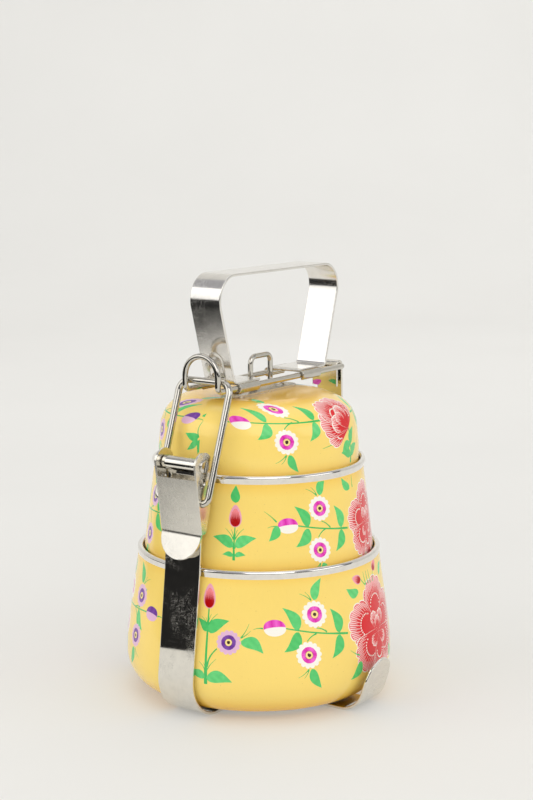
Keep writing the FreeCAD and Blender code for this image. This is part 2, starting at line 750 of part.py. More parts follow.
def make_lever():
    """A pressed channel: a front plate, two ears on the pin, and a half-moon finger tab."""
    body = new_body("lever")
    sheet = size("lever_sheet")
    half = size("lever_half_width")
    foot = -size("lever_foot_reach")
    foot_height = size("lever_foot_height")
    top = -size("lever_top_reach")
    top_height = size("lever_top_height")
    pivot = -size("pivot_reach")
    pivot_height = size("pivot_height")
    ear = size("ear_radius")
    offset = size("ear_offset")
    widest = root(ear * ear - offset * offset)
    ears = [
        (foot, foot_height),
        (foot + size("ear_neck"), foot_height),
        (pivot + size("ear_waist"), foot_height + size("ear_waist_rise")),
        (pivot + size("ear_back"), foot_height + size("ear_back_rise")),
        (pivot + widest, pivot_height - offset, ear),
        (pivot, pivot_height + ear, ear),
        (pivot - widest, pivot_height + offset),
        (top, top_height),
    ]
    extrude(body, "lever_ears", "XZ_Plane", 2 * half, ears)
    away = 3 * ear
    hollow = [
        (foot + sheet, foot_height - 1),
        (foot + away, foot_height - 1),
        (foot + away, pivot_height + away),
        (top - away, pivot_height + away),
        (top - away, top_height),
        (top + sheet, top_height),
    ]
    extrude(body, "lever_hollow", "XZ_Plane", 2 * (half - sheet), hollow, kind="Pocket")
    holes = [
        (pivot, pivot_height, size("pin_radius")),
        (-size("link_hole_reach"), size("link_hole_height"), size("link_hole_radius")),
        (-size("link_hole_reach"), size("spare_hole_height"), size("spare_hole_radius")),
    ]
    extrude(body, "lever_holes", "XZ_Plane", 4 * half, circles=holes, kind="Pocket")
    DOC.recompute()
    add_tab(body)
    return body


def add_tab(body):
    """The finger tab: a half moon below the plate, leaning outward."""
    sketch = new_sketch(body, "lever_tab_section", "YZ_Plane")
    half = size("tab_half_width")
    length = size("tab_length")
    overlap = size("lever_sheet") / 2
    corners = [
        (half, overlap),
        (-half, overlap),
        (-half, half - length, half),
        (0, -length, half),
        (half, half - length),
    ]
    outline(sketch, corners)
    sketch.AttachmentOffset = FreeCAD.Placement(
        vec(0, mm("lever_foot_height"), -mm("lever_foot_reach")),
        FreeCAD.Rotation(vec(1, 0, 0), mm("tab_lean")),
    )
    pad = body.newObject("PartDesign::Pad", "lever_tab")
    pad.Profile = sketch
    pad.setExpression("Length", "Sizes.lever_sheet")
    body.Tip = pad


def make_lever_pin():
    """A rivet through both ears and the strap's roll, peened to a flat head at each end."""
    x = -mm("pivot_reach")
    z = mm("pivot_height")
    half = mm("lever_half_width")
    rise = mm("pin_head_rise")
    pin = cylinder_along_y(x, z, mm("pin_radius"), half)
    for side in (1, -1):
        head = Part.makeCylinder(mm("pin_head_radius"), rise, vec(x, side * half, z), vec(0, side, 0))
        rim = [edge for edge in head.Edges if abs(edge.BoundBox.Center.y - side * (half + rise)) < 0.01]
        pin = pin.fuse(head.makeChamfer(rise * 0.4, rim[:1]))
    return plain_feature("lever_pin", pin.removeSplitter())


def make_link_wire():
    """The latch loop: a bar under the arch, two legs, and ends turned into the lever's ears."""
    hole = vec(-mm("link_hole_reach"), 0, mm("link_hole_height"))
    bar = vec(-mm("link_bar_reach"), 0, mm("link_bar_height"))
    half = mm("link_half_width")
    end = mm("link_end_reach")
    rise = (bar - hole).normalize()
    length = (bar - hole).Length

    def placed(point):
        return hole + vec(0, point.x, 0) + rise * point.y

    points = [
        vec(-end, 0, 0),
        vec(-half, 0, 0),
        vec(-half, length, 0),
        vec(half, length, 0),
        vec(half, 0, 0),
        vec(end, 0, 0),
    ]
    low = mm("link_bottom_corner")
    high = mm("link_top_corner")
    edges = []
    for piece in filleted(points, [low, high, high, low]):
        if piece[0] == "line":
            edges.append(Part.LineSegment(placed(piece[1]), placed(piece[2])).toShape())
        else:
            centre, radius, start, sweep = piece[1:]
            spoke = vec(radius, 0, 0)
            stops = [placed(centre + turned(spoke, start + sweep * part)) for part in (0, 0.5, 1)]
            edges.append(Part.Arc(*stops).toShape())
    return plain_feature("link_wire", bent_wire(edges, mm("link_wire_radius")))


# ---------------------------------------------------------------- the top frame


def make_frame_wire():
    """One closed wire: two rods, the hinge bar across their +X ends, and an arch bent up at -X."""
    half = mm("frame_half_width")
    z = mm("frame_height")
    hinge = mm("hinge_reach")
    bend = mm("hinge_bend")
    arch = -mm("arch_reach")
    rise = mm("arch_bend")
    leg = z + rise + mm("arch_leg")
    cut = 1 - math.sqrt(0.5)
    edges = [Part.LineSegment(vec(hinge, bend - half, z), vec(hinge, half - bend, z)).toShape()]
    for side in (1, -1):
        y = side * half
        turn_in = vec(hinge, y - side * bend, z)
        turn_mid = vec(hinge - bend * cut, y - side * bend * cut, z)
        turn_out = vec(hinge - bend, y, z)
        edges.append(Part.Arc(turn_in, turn_mid, turn_out).toShape())
        edges.append(Part.LineSegment(turn_out, vec(arch + rise, y, z)).toShape())
        low = vec(arch + rise, y, z)
        mid = vec(arch + rise * cut, y, z + rise * cut)
        high = vec(arch, y, z + rise)
        edges.append(Part.Arc(low, mid, high).toShape())
        edges.append(Part.LineSegment(high, vec(arch, y, leg)).toShape())
    crown = vec(arch, 0, leg + half)
    edges.append(Part.Arc(vec(arch, half, leg), crown, vec(arch, -half, leg)).toShape())
    return plain_feature("frame_wire", closed_wire(edges, mm("frame_wire_radius")))


def make_handle():
    """A strap handle whose feet turn inward over the rods and curl around them."""
    sheet = mm("handle_sheet")
    rod = mm("frame_wire_radius")
    curl = rod + mm("wing_clearance") + sheet / 2
    floor = mm("frame_height") + curl
    centre = mm("handle_centre")
    top = mm("handle_top")
    foot = mm("foot_inset")
    bottom = mm("handle_half_foot")
    crest = mm("handle_half_top")
    points = [
        vec(centre - foot, floor, 0),
        vec(centre - bottom, floor, 0),
        vec(centre - crest, top, 0),
        vec(centre + crest, top, 0),
        vec(centre + bottom, floor, 0),
        vec(centre + foot, floor, 0),
    ]
    low = mm("handle_foot_bend")
    high = mm("handle_corner")
    pieces = filleted(points, [low, high, high, low])
    handle = bent_sheet(pieces, sheet, mm("handle_width"))
    half = mm("frame_half_width")
    z = mm("frame_height")
    turn = mm("wing_turn") - 90
    span = [
        arc_piece(vec(-half, z, 0), curl, 90 + turn, -turn),
        ("line", vec(-half, floor, 0), vec(half, floor, 0)),
        arc_piece(vec(half, z, 0), curl, 90, -turn),
    ]
    wings = bent_sheet(span, sheet, mm("wing_length"), "YZ")
    for side in (1, -1):
        pair = wings.copy()
        reach = foot + mm("wing_length") / 2
        pair.translate(vec(centre - mm("wing_shift") + side * reach, 0, 0))
        handle = handle.fuse(pair)
    return plain_feature("handle", handle.removeSplitter())


# ---------------------------------------------------------------- check and write

PARTS = [
    make_side_strap(),
    make_cross_strap(),
    make_base_rivets(),
    make_lower_bowl(),
    make_upper_bowl(),
    make_lid(),
    make_bail_plate(),
    make_bail_rivets(),
    make_bail_wire(),
    make_lever(),
    make_lever_pin(),
    make_link_wire(),
    make_frame_wire(),
    make_handle(),
]
DOC.recompute()
for item in DOC.Objects:
    if "Invalid" in item.State or "Error" in item.State:
        raise RuntimeError(f"{item.Label} failed: {item.State}")
os.makedirs("parts", exist_ok=True)
for part in PARTS:
    if part.Shape.isNull() or not part.Shape.isValid():
        raise RuntimeError(f"{part.Label} has no valid shape")
    box = part.Shape.BoundBox
    spans = [(box.XMin, box.XMax), (box.YMin, box.YMax), (box.ZMin, box.ZMax)]
    print(part.Label, round(part.Shape.Volume, 1), [f"{low:.2f} {high:.2f}" for low, high in spans])
    part.Shape.exportStep(f"parts/{part.Label}.step")
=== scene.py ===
"""Looks for the tiffin carrier: enamelled bowls and lid with a painted floral pattern, polished
steel straps, handle, latch and wires. Sizes are in millimetres until a mesh is made, and meshes
are in metres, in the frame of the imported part."""

import random
from math import acos, asin, atan2, ceil, copysign, cos, dist, hypot
from math import pi, radians, sin, sqrt, tan, degrees as to_degrees

import bmesh
import bpy
import numpy as np
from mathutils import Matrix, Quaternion, Vector
from mathutils.geometry import delaunay_2d_cdt

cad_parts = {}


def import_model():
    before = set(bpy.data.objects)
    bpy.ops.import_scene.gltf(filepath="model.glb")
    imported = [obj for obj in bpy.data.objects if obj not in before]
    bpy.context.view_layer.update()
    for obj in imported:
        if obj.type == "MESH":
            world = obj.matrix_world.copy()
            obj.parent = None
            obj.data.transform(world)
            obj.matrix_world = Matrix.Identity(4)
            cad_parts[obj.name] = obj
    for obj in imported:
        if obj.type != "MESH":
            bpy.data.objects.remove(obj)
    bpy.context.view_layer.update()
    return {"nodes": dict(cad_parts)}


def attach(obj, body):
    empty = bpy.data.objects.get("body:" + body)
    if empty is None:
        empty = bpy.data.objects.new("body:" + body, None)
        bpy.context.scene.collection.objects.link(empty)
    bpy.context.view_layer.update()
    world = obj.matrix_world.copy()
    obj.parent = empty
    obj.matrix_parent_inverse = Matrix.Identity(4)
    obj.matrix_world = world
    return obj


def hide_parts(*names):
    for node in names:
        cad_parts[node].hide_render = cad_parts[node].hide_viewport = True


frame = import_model()
MM = 0.001
rng = random.Random(7)


# --- camera and small helpers


def new_object(name, data):
    thing = bpy.data.objects.new(name, data)
    bpy.context.scene.collection.objects.link(thing)
    return thing


def make_camera():
    data = bpy.data.cameras.new("camera")
    camera = new_object("camera", data)
    camera.location = (-0.71252, -0.50947, 0.29734)
    camera.rotation_euler = (radians(80.67), 0, radians(-54.7))
    data.sensor_fit = "HORIZONTAL"
    data.sensor_width = 36
    data.lens = 114.82
    data.clip_start = 0.01
    data.clip_end = 50
    bpy.context.scene.camera = camera


make_camera()


def linear(red, green, blue):
    """A colour given on the usual 0-255 scale, as linear values."""
    out = []
    for value in (red, green, blue):
        value = value / 255
        out.append(value / 12.92 if value <= 0.04045 else ((value + 0.055) / 1.055) ** 2.4)
    return tuple(out)


def new_mesh(name, points, faces):
    mesh = bpy.data.meshes.new(name)
    mesh.from_pydata([tuple(p) for p in points], [], [tuple(f) for f in faces])
    mesh.polygons.foreach_set("use_smooth", [True] * len(mesh.polygons))
    mesh.update()
    return mesh


def area_light(name, place, target, width, height, power, colour=(1, 1, 1)):
    data = bpy.data.lights.new(name, "AREA")
    data.shape = "RECTANGLE"
    data.size = width
    data.size_y = height
    data.energy = power
    data.color = colour
    light = new_object(name, data)
    light.location = place
    aim = Vector(target) - Vector(place)
    light.rotation_euler = aim.to_track_quat("-Z", "Y").to_euler()


# --- material nodes


class Nodes:
    """Short calls for building the node tree of a material or of the world."""

    def __init__(self, owner, shader="Principled BSDF"):
        owner.use_nodes = True
        self.owner = owner
        self.tree = owner.node_tree
        self.shader = self.tree.nodes[shader]

    def add(self, kind, inputs=None, **settings):
        node = self.tree.nodes.new(kind)
        for key, value in settings.items():
            setattr(node, key, value)
        for key, value in (inputs or {}).items():
            self.put(node.inputs[key], value)
        return node

    def put(self, socket, value):
        if isinstance(value, bpy.types.NodeSocket):
            self.tree.links.new(value, socket)
        else:
            socket.default_value = value

    def set(self, **values):
        for key, value in values.items():
            self.put(self.shader.inputs[key.replace("_", " ")], value)

    def position(self, stretch=(1, 1, 1), turn=(0, 0, 0)):
        source = self.add("ShaderNodeTexCoord").outputs["Object"]
        inputs = {"Vector": source, "Scale": stretch, "Rotation": turn}
        return self.add("ShaderNodeMapping", inputs).outputs["Vector"]

    def noise(self, vector, scale, detail=3.0, roughness=0.5):
        inputs = {"Vector": vector, "Scale": scale, "Detail": detail, "Roughness": roughness}
        return self.add("ShaderNodeTexNoise", inputs).outputs["Fac"]

    def ramp(self, value, low, high, start=0.0, end=1.0):
        inputs = {"Value": value, "From Min": low, "From Max": high, "To Min": start, "To Max": end}
        return self.add("ShaderNodeMapRange", inputs).outputs["Result"]

    def math(self, operation, first, second=0.0):
        node = self.add("ShaderNodeMath", {0: first, 1: second}, operation=operation)
        return node.outputs[0]

    def mix(self, factor, first, second):
        node = self.add("ShaderNodeMix", data_type="RGBA")
        for socket, value in ((0, factor), (6, first), (7, second)):
            self.put(node.inputs[socket], value)
        return node.outputs[2]

    def bump(self, height, strength, distance):
        inputs = {"Height": height, "Strength": strength, "Distance": distance}
        return self.add("ShaderNodeBump", inputs).outputs["Normal"]


def scratches(nodes, stretch, turn, scale, amount):
    """Thin bright lines along one direction: a noise drawn out and cut near its middle value."""
    value = nodes.noise(nodes.position(stretch, turn), scale, 2.0)
    off_centre = nodes.math("ABSOLUTE", nodes.math("SUBTRACT", value, 0.5))
    return nodes.ramp(off_centre, 0.0, amount, 1.0, 0.0)


def steel(name, tone, rough, brushed=(1, 1, 1), scratch=1.0, smudge=1.0, grain=0.04, relief=0.12):
    """Polished steel with fine brushing, crossing scratches and soft smudges."""
    nodes = Nodes(bpy.data.materials.new(name))
    plain = nodes.position()
    fine = nodes.noise(nodes.position(brushed), 900, 3.0)
    cloud = nodes.noise(plain, 45, 4.0, 0.6)
    spots = nodes.noise(plain, 260, 3.0, 0.6)
    lines = scratches(nodes, (1, 1, 14), (0.3, 0.5, 0.2), 130, 0.012)
    crossing = scratches(nodes, (1, 12, 1), (0.9, 0.2, 1.1), 110, 0.012)
    marks = nodes.math("MAXIMUM", lines, crossing)
    marks = nodes.math("MULTIPLY", marks, nodes.ramp(cloud, 0.45, 0.62))
    roughness = rough
    for extra in (
        nodes.ramp(cloud, 0.4, 0.75, 0.0, 0.05 * smudge),
        nodes.ramp(fine, 0.3, 0.7, 0.0, grain),
        nodes.math("MULTIPLY", marks, 0.25 * scratch),
    ):
        roughness = nodes.math("ADD", roughness, extra)
    dull = tuple(channel * 0.93 for channel in tone)
    colour = nodes.mix(nodes.ramp(spots, 0.42, 0.72), (*tone, 1), (*dull, 1))
    raised = nodes.math("MULTIPLY", marks, 0.5)
    height = nodes.math("ADD", nodes.math("MULTIPLY", fine, 0.35), raised)
    nodes.set(Base_Color=colour, Metallic=1.0, Roughness=roughness)
    nodes.set(Normal=nodes.bump(height, relief, 0.00012))
    return nodes.owner


def enamel(name):
    """Glossy enamel: the painted colour with slight unevenness, faint waviness and tiny pits."""
    nodes = Nodes(bpy.data.materials.new(name))
    paint = nodes.add("ShaderNodeAttribute", attribute_name="paint").outputs["Color"]
    plain = nodes.position()
    wide = nodes.ramp(nodes.noise(plain, 28, 3.0), 0.3, 0.7, 0.97, 1.0)
    brush = nodes.noise(nodes.position((1, 1, 0.35)), 900, 3.0)
    shade = nodes.math("ADD", wide, nodes.ramp(brush, 0.3, 0.7, -0.006, 0.006))
    colour = nodes.add("ShaderNodeVectorMath", {0: paint, "Scale": shade}, operation="SCALE")
    pits = nodes.ramp(nodes.noise(plain, 1500, 1.0), 0.76, 0.8)
    colour = nodes.mix(nodes.math("MULTIPLY", pits, 0.5), colour.outputs[0], (0.25, 0.14, 0.03, 1))
    ripple = nodes.math("ADD", nodes.noise(plain, 170, 2.0), nodes.math("MULTIPLY", pits, -0.4))
    haze = nodes.ramp(nodes.noise(plain, 70, 4.0, 0.6), 0.4, 0.8, 0.0, 0.14)
    rough = nodes.math("ADD", 0.10, haze)
    nodes.set(Base_Color=colour, Roughness=rough, Normal=nodes.bump(ripple, 0.06, 0.0004))
    nodes.set(Specular_IOR_Level=0.42, Coat_Weight=0.06, Coat_Roughness=0.06)
    return nodes.owner


STEEL_LIGHT = (0.87, 0.845, 0.80)
STEEL_MID = (0.80, 0.77, 0.70)
STEEL_DARK = (0.64, 0.615, 0.555)
strap_steel = steel("strap_steel", STEEL_MID, 0.02, (1, 10, 1), 2.0, 0.9, 0.01, 0.008)
handle_steel = steel("handle_steel", STEEL_LIGHT, 0.13, (1, 14, 1), grain=0.02, relief=0.015)
curl_steel = steel("curl_steel", STEEL_DARK, 0.2, (8, 1, 1), grain=0.06, relief=0.06)
wire_steel = steel("wire_steel", STEEL_DARK, 0.07, scratch=0.6, grain=0.03, relief=0.05)
lever_steel = steel("lever_steel", STEEL_MID, 0.2, (1, 12, 1), smudge=1.5, grain=0.06, relief=0.05)
rim_steel = steel("rim_steel", STEEL_LIGHT, 0.05, (1, 1, 16), 0.5, 0.6, 0.02, 0.02)
inner_steel = steel("inner_steel", STEEL_LIGHT, 0.3, (1, 1, 16), grain=0.06, relief=0.05)
enamel_paint = enamel("enamel_paint")


# --- paths and sweeps


def arc_points(centre, axis, start, degrees, step):
    """Points on an arc about an axis, from start, leaving start itself out."""
    centre = Vector(centre)
    spoke = Vector(start) - centre
    sweep_angle = radians(degrees)
    count = max(2, ceil(abs(sweep_angle) * spoke.length / step))
    turns = [Quaternion(axis, sweep_angle * index / count) for index in range(1, count + 1)]
    return [centre + turn @ spoke for turn in turns]


def line_points(start, end, step):
    start, end = Vector(start), Vector(end)
    count = max(1, ceil((end - start).length / step))
    return [start.lerp(end, index / count) for index in range(1, count + 1)]


def route(corners, radii, step, bend_step, closed=False):
    """Points along straight runs whose corners are rounded to the given radii."""
    corners = [Vector(c) for c in corners]
    count = len(corners)
    inner = range(count) if closed else range(1, count - 1)
    bends = []
    for index, radius in zip(inner, radii):
        corner = corners[index]
        back = (corners[index - 1] - corner).normalized()
        ahead = (corners[(index + 1) % count] - corner).normalized()
        half = acos(max(-1.0, min(1.0, back.dot(ahead)))) / 2
        reach = radius / tan(half)
        centre = corner + (back + ahead).normalized() * (radius / sin(half))
        axis = ahead.cross(back)
        bends.append((corner + back * reach, centre, axis, 180 - 2 * to_degrees(half)))
    points = [bends[0][0].copy()] if closed else [corners[0]]
    for index, (start, centre, axis, turn) in enumerate(bends):
        if index or not closed:
            points += line_points(points[-1], start, step)
        points += arc_points(centre, axis, start, turn, bend_step)
    if closed:
        points += line_points(points[-1], points[0], step)[:-1]
    else:
        points += line_points(points[-1], corners[-1], step)
    return points


def sweep(name, rings, closed):
    """A skin over a row of equal rings of points, capped at both ends unless closed."""
    count = len(rings[0])
    points = [point for ring in rings for point in ring]
    faces = []
    last = len(rings) if closed else len(rings) - 1
    for row in range(last):
        here, there = row * count, (row + 1) % len(rings) * count
        for index in range(count):
            after = (index + 1) % count
            faces.append((here + index, here + after, there + after, there + index))
    if not closed:
        faces.append(tuple(reversed(range(count))))
        faces.append(tuple(range((len(rings) - 1) * count, len(rings) * count)))
    mesh = new_mesh(name, points, faces)
    tidy = bmesh.new()
    tidy.from_mesh(mesh)
    bmesh.ops.recalc_face_normals(tidy, faces=tidy.faces)
    tidy.to_mesh(mesh)
    tidy.free()
    return mesh


def tube(name, path, radius, closed, sides=24):
    """A round wire along a path. A closed one spreads the twist left at its end over its length."""
    padded = [path[-1], *path, path[0]] if closed else [path[0], *path, path[-1]]
    tangents = [(after - before).normalized() for before, after in zip(padded, padded[2:])]
    normals = [tangents[0].orthogonal().normalized()]
    for tangent in tangents[1:] + tangents[:1]:
        normals.append((normals[-1] - tangent * normals[-1].dot(tangent)).normalized())
    left_over = 0.0
    if closed:
        side = tangents[0].cross(normals[0])
        left_over = atan2(normals[-1].dot(side), normals[-1].dot(normals[0]))
    rings = []
    for row, (point, tangent, normal) in enumerate(zip(path, tangents, normals)):
        side = tangent.cross(normal)
        start = -left_over * row / len(path)
        angles = [start + 2 * pi * k / sides for k in range(sides)]
        spokes = [(normal * cos(a) + side * sin(a)) * radius for a in angles]
        rings.append([(point + spoke) * MM for spoke in spokes])
    mesh = sweep(name, rings, closed)
    mesh.set_sharp_from_angle(angle=radians(50))
    return mesh


def strip_outline(wide, half, edge, columns):
    """A strip's section as (across, out): two flats with rounded edges, and close columns at
    both ends of each flat so that its shading stays even up to the edge."""
    inner = wide - 0.1
    flat = [-wide] + [2 * inner * k / (columns - 1) - inner for k in range(columns)] + [wide]
    corner = []
    for degrees in (60, 30, 0):
        angle = radians(degrees)
        corner.append((wide + edge * cos(angle), half - edge + edge * sin(angle)))
    outline = [(w, half) for w in flat] + corner + [(w, -n) for w, n in reversed(corner)]
    return outline + [(-w, -n) for w, n in outline]


def strip(name, path, across, half_width, thickness, columns=7, relief=lambda distance, w: 0.0):
    """A flat strip with rounded edges along a path in one plane. across is that plane's normal,
    half_width(point) the strip's half width, relief(distance, w) a pressed-in shape."""
    across = Vector(across)
    half = thickness / 2
    edge = min(0.38, half * 0.95)
    padded = [path[0], *path, path[-1]]
    distance = 0.0
    rings = []
    for before, point, after in zip(padded, path, padded[2:]):
        distance += (point - before).length
        normal = across.cross((after - before).normalized())
        outline = strip_outline(half_width(point) - edge, half, edge, columns)
        pressed = [(w, n + relief(distance, w)) for w, n in outline]
        rings.append([(point + across * w + normal * n) * MM for w, n in pressed])
    mesh = sweep(name, rings, False)
    mesh.set_sharp_from_angle(angle=radians(50))
    return mesh


def place(name, mesh, material, body, nodes=(), slot="steel"):
    """Makes a piece of the mesh, on its body, and hides the nodes it stands for."""
    if material:
        mesh.materials.append(material)
    piece = new_object(name, mesh)
    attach(piece, body)
    if nodes:
        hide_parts(*nodes)
    return piece


# --- carrier straps

SIDE = Vector((0, 1, 0))
RISE = Vector((0, 0, 1))
RODS_LEVEL = 164.6
RODS_HALF_GAP = 10.2
PIVOT = Vector((-64.2, 0, 130.0))
HINGE = Vector((65.3, 0, RODS_LEVEL))
STRAP = 1.5
STRAP_HALF = 11.0
STRAP_BEND = 19.75
HINGE_ROLL = 2.33
HINGE_HALF = 8.0
LATCH_ROLL = 2.83


def tangent_point(start, centre, radius):
    """Where the line from start touches the right-hand side of a circle in the XZ plane."""
    toward = centre - start
    reach = sqrt(toward.length**2 - radius**2)
    toward.rotate(Quaternion(SIDE, asin(radius / toward.length)))
    return start + toward.normalized() * reach


def side_strap():
    """From the tail inside the hinge roll, down the side, under the bowls, and up to the latch."""
    kink = Vector((-65.3, 0, 74))
    hinge_foot = Vector((72.0, 0, STRAP / 2))
    latch_foot = Vector((-73.9, 0, STRAP / 2))
    hinge_side = tangent_point(hinge_foot, HINGE, HINGE_ROLL)
    latch_side = tangent_point(kink, PIVOT, LATCH_ROLL)
    inside = HINGE - Vector((HINGE_ROLL, 0, 0))
    tail = inside - RISE * 11.3
    spoke = hinge_side - HINGE
    roll_degrees = 180 - to_degrees(atan2(spoke.z, spoke.x))
    path = [tail] + line_points(tail, inside, 1.5)
    path += arc_points(HINGE, SIDE, inside, roll_degrees, 0.4)
    corners = [hinge_side, hinge_foot, latch_foot, kink, latch_side]
    path += route(corners, [STRAP_BEND, STRAP_BEND, 60], 1.5, 1.0)[1:]
    path += arc_points(PIVOT, -SIDE, latch_side, 290, 0.4)
    narrowing_starts = 142.0

    def half_width(point):
        narrow = point.z - narrowing_starts if point.x > 0 else 0.0
        return min(STRAP_HALF, max(HINGE_HALF, STRAP_HALF - narrow))

    mesh = strip("side_strap_steel", path, SIDE, half_width, STRAP)
    place("side_strap_steel", mesh, strap_steel, "carrier", ["side_strap"])


def cross_strap():
    """Under the bowls from tongue to tongue, stepped over the side strap in the middle."""
    lean = radians(17.8)
    length, bend, step_out = 28.3, 68.6, 14
    low = STRAP / 2
    tip = Vector((0, bend + length * sin(lean), low + length * cos(lean)))
    half = [Vector((0, step_out, low + STRAP)), Vector((0, 20, low)), Vector((0, bend, low)), tip]
    mirrored = [Vector((0, -p.y, p.z)) for p in reversed(half)]
    path = route(mirrored + half, [13.65, 4, 4, 4, 4, 13.65], 1.2, 0.8)
    fine = [path[0].lerp(path[1], k / 6) for k in range(6)]
    fine_end = [path[-2].lerp(path[-1], k / 6) for k in range(1, 7)]
    taper_starts, tip_half, round_length = 17, 7.2, 5.5

    def half_width(point):
        if point.z < taper_starts:
            return STRAP_HALF
        left = max(tip.z - point.z, 0.0)
        share = min(1.0, left / (tip.z - taper_starts)) ** 0.8
        rounding = sqrt(max(1 - (1 - min(left / round_length, 1)) ** 2, 0.03))
        return (tip_half + (STRAP_HALF - tip_half) * share) * rounding

    mesh = strip("cross_strap_steel", fine + path[1:-1] + fine_end, (1, 0, 0), half_width, STRAP)
    place("cross_strap_steel", mesh, strap_steel, "carrier", ["cross_strap"])


side_strap()
cross_strap()


# --- handle and wires

HANDLE_CENTRE = 7.8
HANDLE_FOOT = 19.5
HANDLE_BOTTOM = 41.0
HANDLE_CREST = 57.3
HANDLE_TOP = 221.6
HANDLE_FLOOR = 166.8
ROD = 1.5


def pressed_oblong(distance, w):
    """An oblong with a round top, pressed into the latch-side leg just above its foot."""
    half, low, depth, slope = 3.9, 3.5, 0.62, 1.0
    along = distance - (HANDLE_BOTTOM - HANDLE_FOOT) - low
    round_starts = 11.5 - half
    away = hypot(w, along - round_starts) if along > round_starts else max(abs(w), half - along)
    share = min(max((half + slope / 2 - away) / slope, 0.0), 1.0)
    return depth * share * share * (3 - 2 * share)


def handle():
    """The strap handle: two feet that turn inwards, two leaning legs and the grip."""
    half = [(HANDLE_FOOT, HANDLE_FLOOR), (HANDLE_BOTTOM, HANDLE_FLOOR), (HANDLE_CREST, HANDLE_TOP)]
    corners = [(HANDLE_CENTRE - out, 0, z) for out, z in half]
    corners += [(HANDLE_CENTRE + out, 0, z) for out, z in reversed(half)]
    path = route(corners, [2.6, 12.4, 12.4, 2.6], 0.9, 0.6)
    mesh = strip("handle_strap", path, SIDE, lambda point: 9.3, 1.3, 33, pressed_oblong)
    place("handle_strap", mesh, handle_steel, "frame", ["handle"])


def handle_curl(name, side):
    """The strip that wraps both rods beside one foot of the handle."""
    middle = HANDLE_CENTRE - 4.5 + side * (HANDLE_FOOT + 8.5)
    lift = RISE * (ROD + 0.05 + 0.65)
    near = Vector((middle, -RODS_HALF_GAP, RODS_LEVEL))
    far = Vector((middle, RODS_HALF_GAP, RODS_LEVEL))
    lead = arc_points(near, (1, 0, 0), near + lift, 155, 0.35)
    path = list(reversed(lead)) + [near + lift] + line_points(near + lift, far + lift, 1.5)
    path += arc_points(far, (-1, 0, 0), far + lift, 155, 0.35)
    place(name, strip(name, path, (1, 0, 0), lambda point: 8.5, 1.2), curl_steel, "frame")


def frame_wire():
    """The closed wire: hinge bar, two rods, and the arch that stands up at the latch."""
    arch, leg = -49.0, 171.7
    ends = [Vector((arch, side * RODS_HALF_GAP, leg)) for side in (1, -1)]
    places = ((arch, 1), (HINGE.x, 1), (HINGE.x, -1), (arch, -1))
    bars = [Vector((x, side * RODS_HALF_GAP, RODS_LEVEL)) for x, side in places]
    path = route([ends[0], *bars, ends[1]], [3.0, 2.0, 2.0, 3.0], 2.0, 0.4)[1:]
    path += arc_points((arch, 0, leg), (-1, 0, 0), ends[1], 180, 0.6)
    mesh = tube("frame_wire_steel", path, ROD, True)
    place("frame_wire_steel", mesh, wire_steel, "frame", ["frame_wire"])


def link_wire():
    """The latch loop, from its two ends in the lever's ears up around the arch."""
    hole = Vector((-65.2, 0, 111.6))
    rise = Vector((-45.3, 0, 169.0)) - hole
    end, half = 11.35, 15.7
    corners = [(-end, 0), (-half, 0), (-half, 1), (half, 1), (half, 0), (end, 0)]
    path = route([hole + SIDE * y + rise * up for y, up in corners], [3.0, 6.0, 6.0, 3.0], 2.0, 0.4)
    mesh = tube("link_wire_steel", path, 1.8, False)
    place("link_wire_steel", mesh, wire_steel, "link", ["link_wire"])


def bail_wire():
    """The closed loop that stands up from the plate on the lid."""
    low, high, half, centre = 161.0, 176.9, 8.9, 1.5
    places = ((-1, low), (1, low), (1, high), (-1, high))
    corners = [(centre + side * half, 0, z) for side, z in places]
    path = route(corners, [2.2, 2.2, 4.0, 4.0], 1.5, 0.35, closed=True)
    mesh = tube("bail_wire_steel", path, 1.4, True)
    place("bail_wire_steel", mesh, wire_steel, "bail", ["bail_wire"])


handle()
handle_curl("handle_curl_hinge_side", 1)
handle_curl("handle_curl_latch_side", -1)
frame_wire()
link_wire()
bail_wire()


# --- small pressed parts


def softened(node, name, body, material, width):
    """The CAD shape with its flat faces joined and its edges slightly rounded."""
    shape = bmesh.new()
    shape.from_mesh(frame["nodes"][node].data)
    bmesh.ops.remove_doubles(shape, verts=shape.verts, dist=0.000002)
    flat = radians(0.6)
    bmesh.ops.dissolve_limit(shape, angle_limit=flat, verts=shape.verts, edges=shape.edges)
    sharp = radians(30)
    edges = [e for e in shape.edges if len(e.link_faces) == 2 and e.calc_face_angle(0) > sharp]
    bmesh.ops.bevel(
        shape, geom=edges, offset=width * MM, offset_type="OFFSET", segments=2, profile=0.5,
        affect="EDGES", clamp_overlap=True,
    )
    bmesh.ops.triangulate(shape, faces=[f for f in shape.faces if len(f.verts) > 4])
    for face in shape.faces:
        face.smooth = True
    mesh = bpy.data.meshes.new(name)
    shape.to_mesh(mesh)
    shape.free()
    mesh.set_sharp_from_angle(angle=radians(34))
    piece = place(name, mesh, material, body, [node])
    piece.modifiers.new("weighted", "WEIGHTED_NORMAL").keep_sharp = True


softened("lever", "lever_steel_plate", "lever", lever_steel, 0.22)
softened("lever_pin", "lever_pin_steel", "lever", wire_steel, 0.12)
softened("bail_plate", "bail_plate_steel", "lid", lever_steel, 0.15)
softened("bail_rivets", "bail_rivets_steel", "lid", wire_steel, 0.08)
softened("base_rivets", "base_rivets_steel", "carrier", strap_steel, 0.08)


# --- bowl and lid profiles


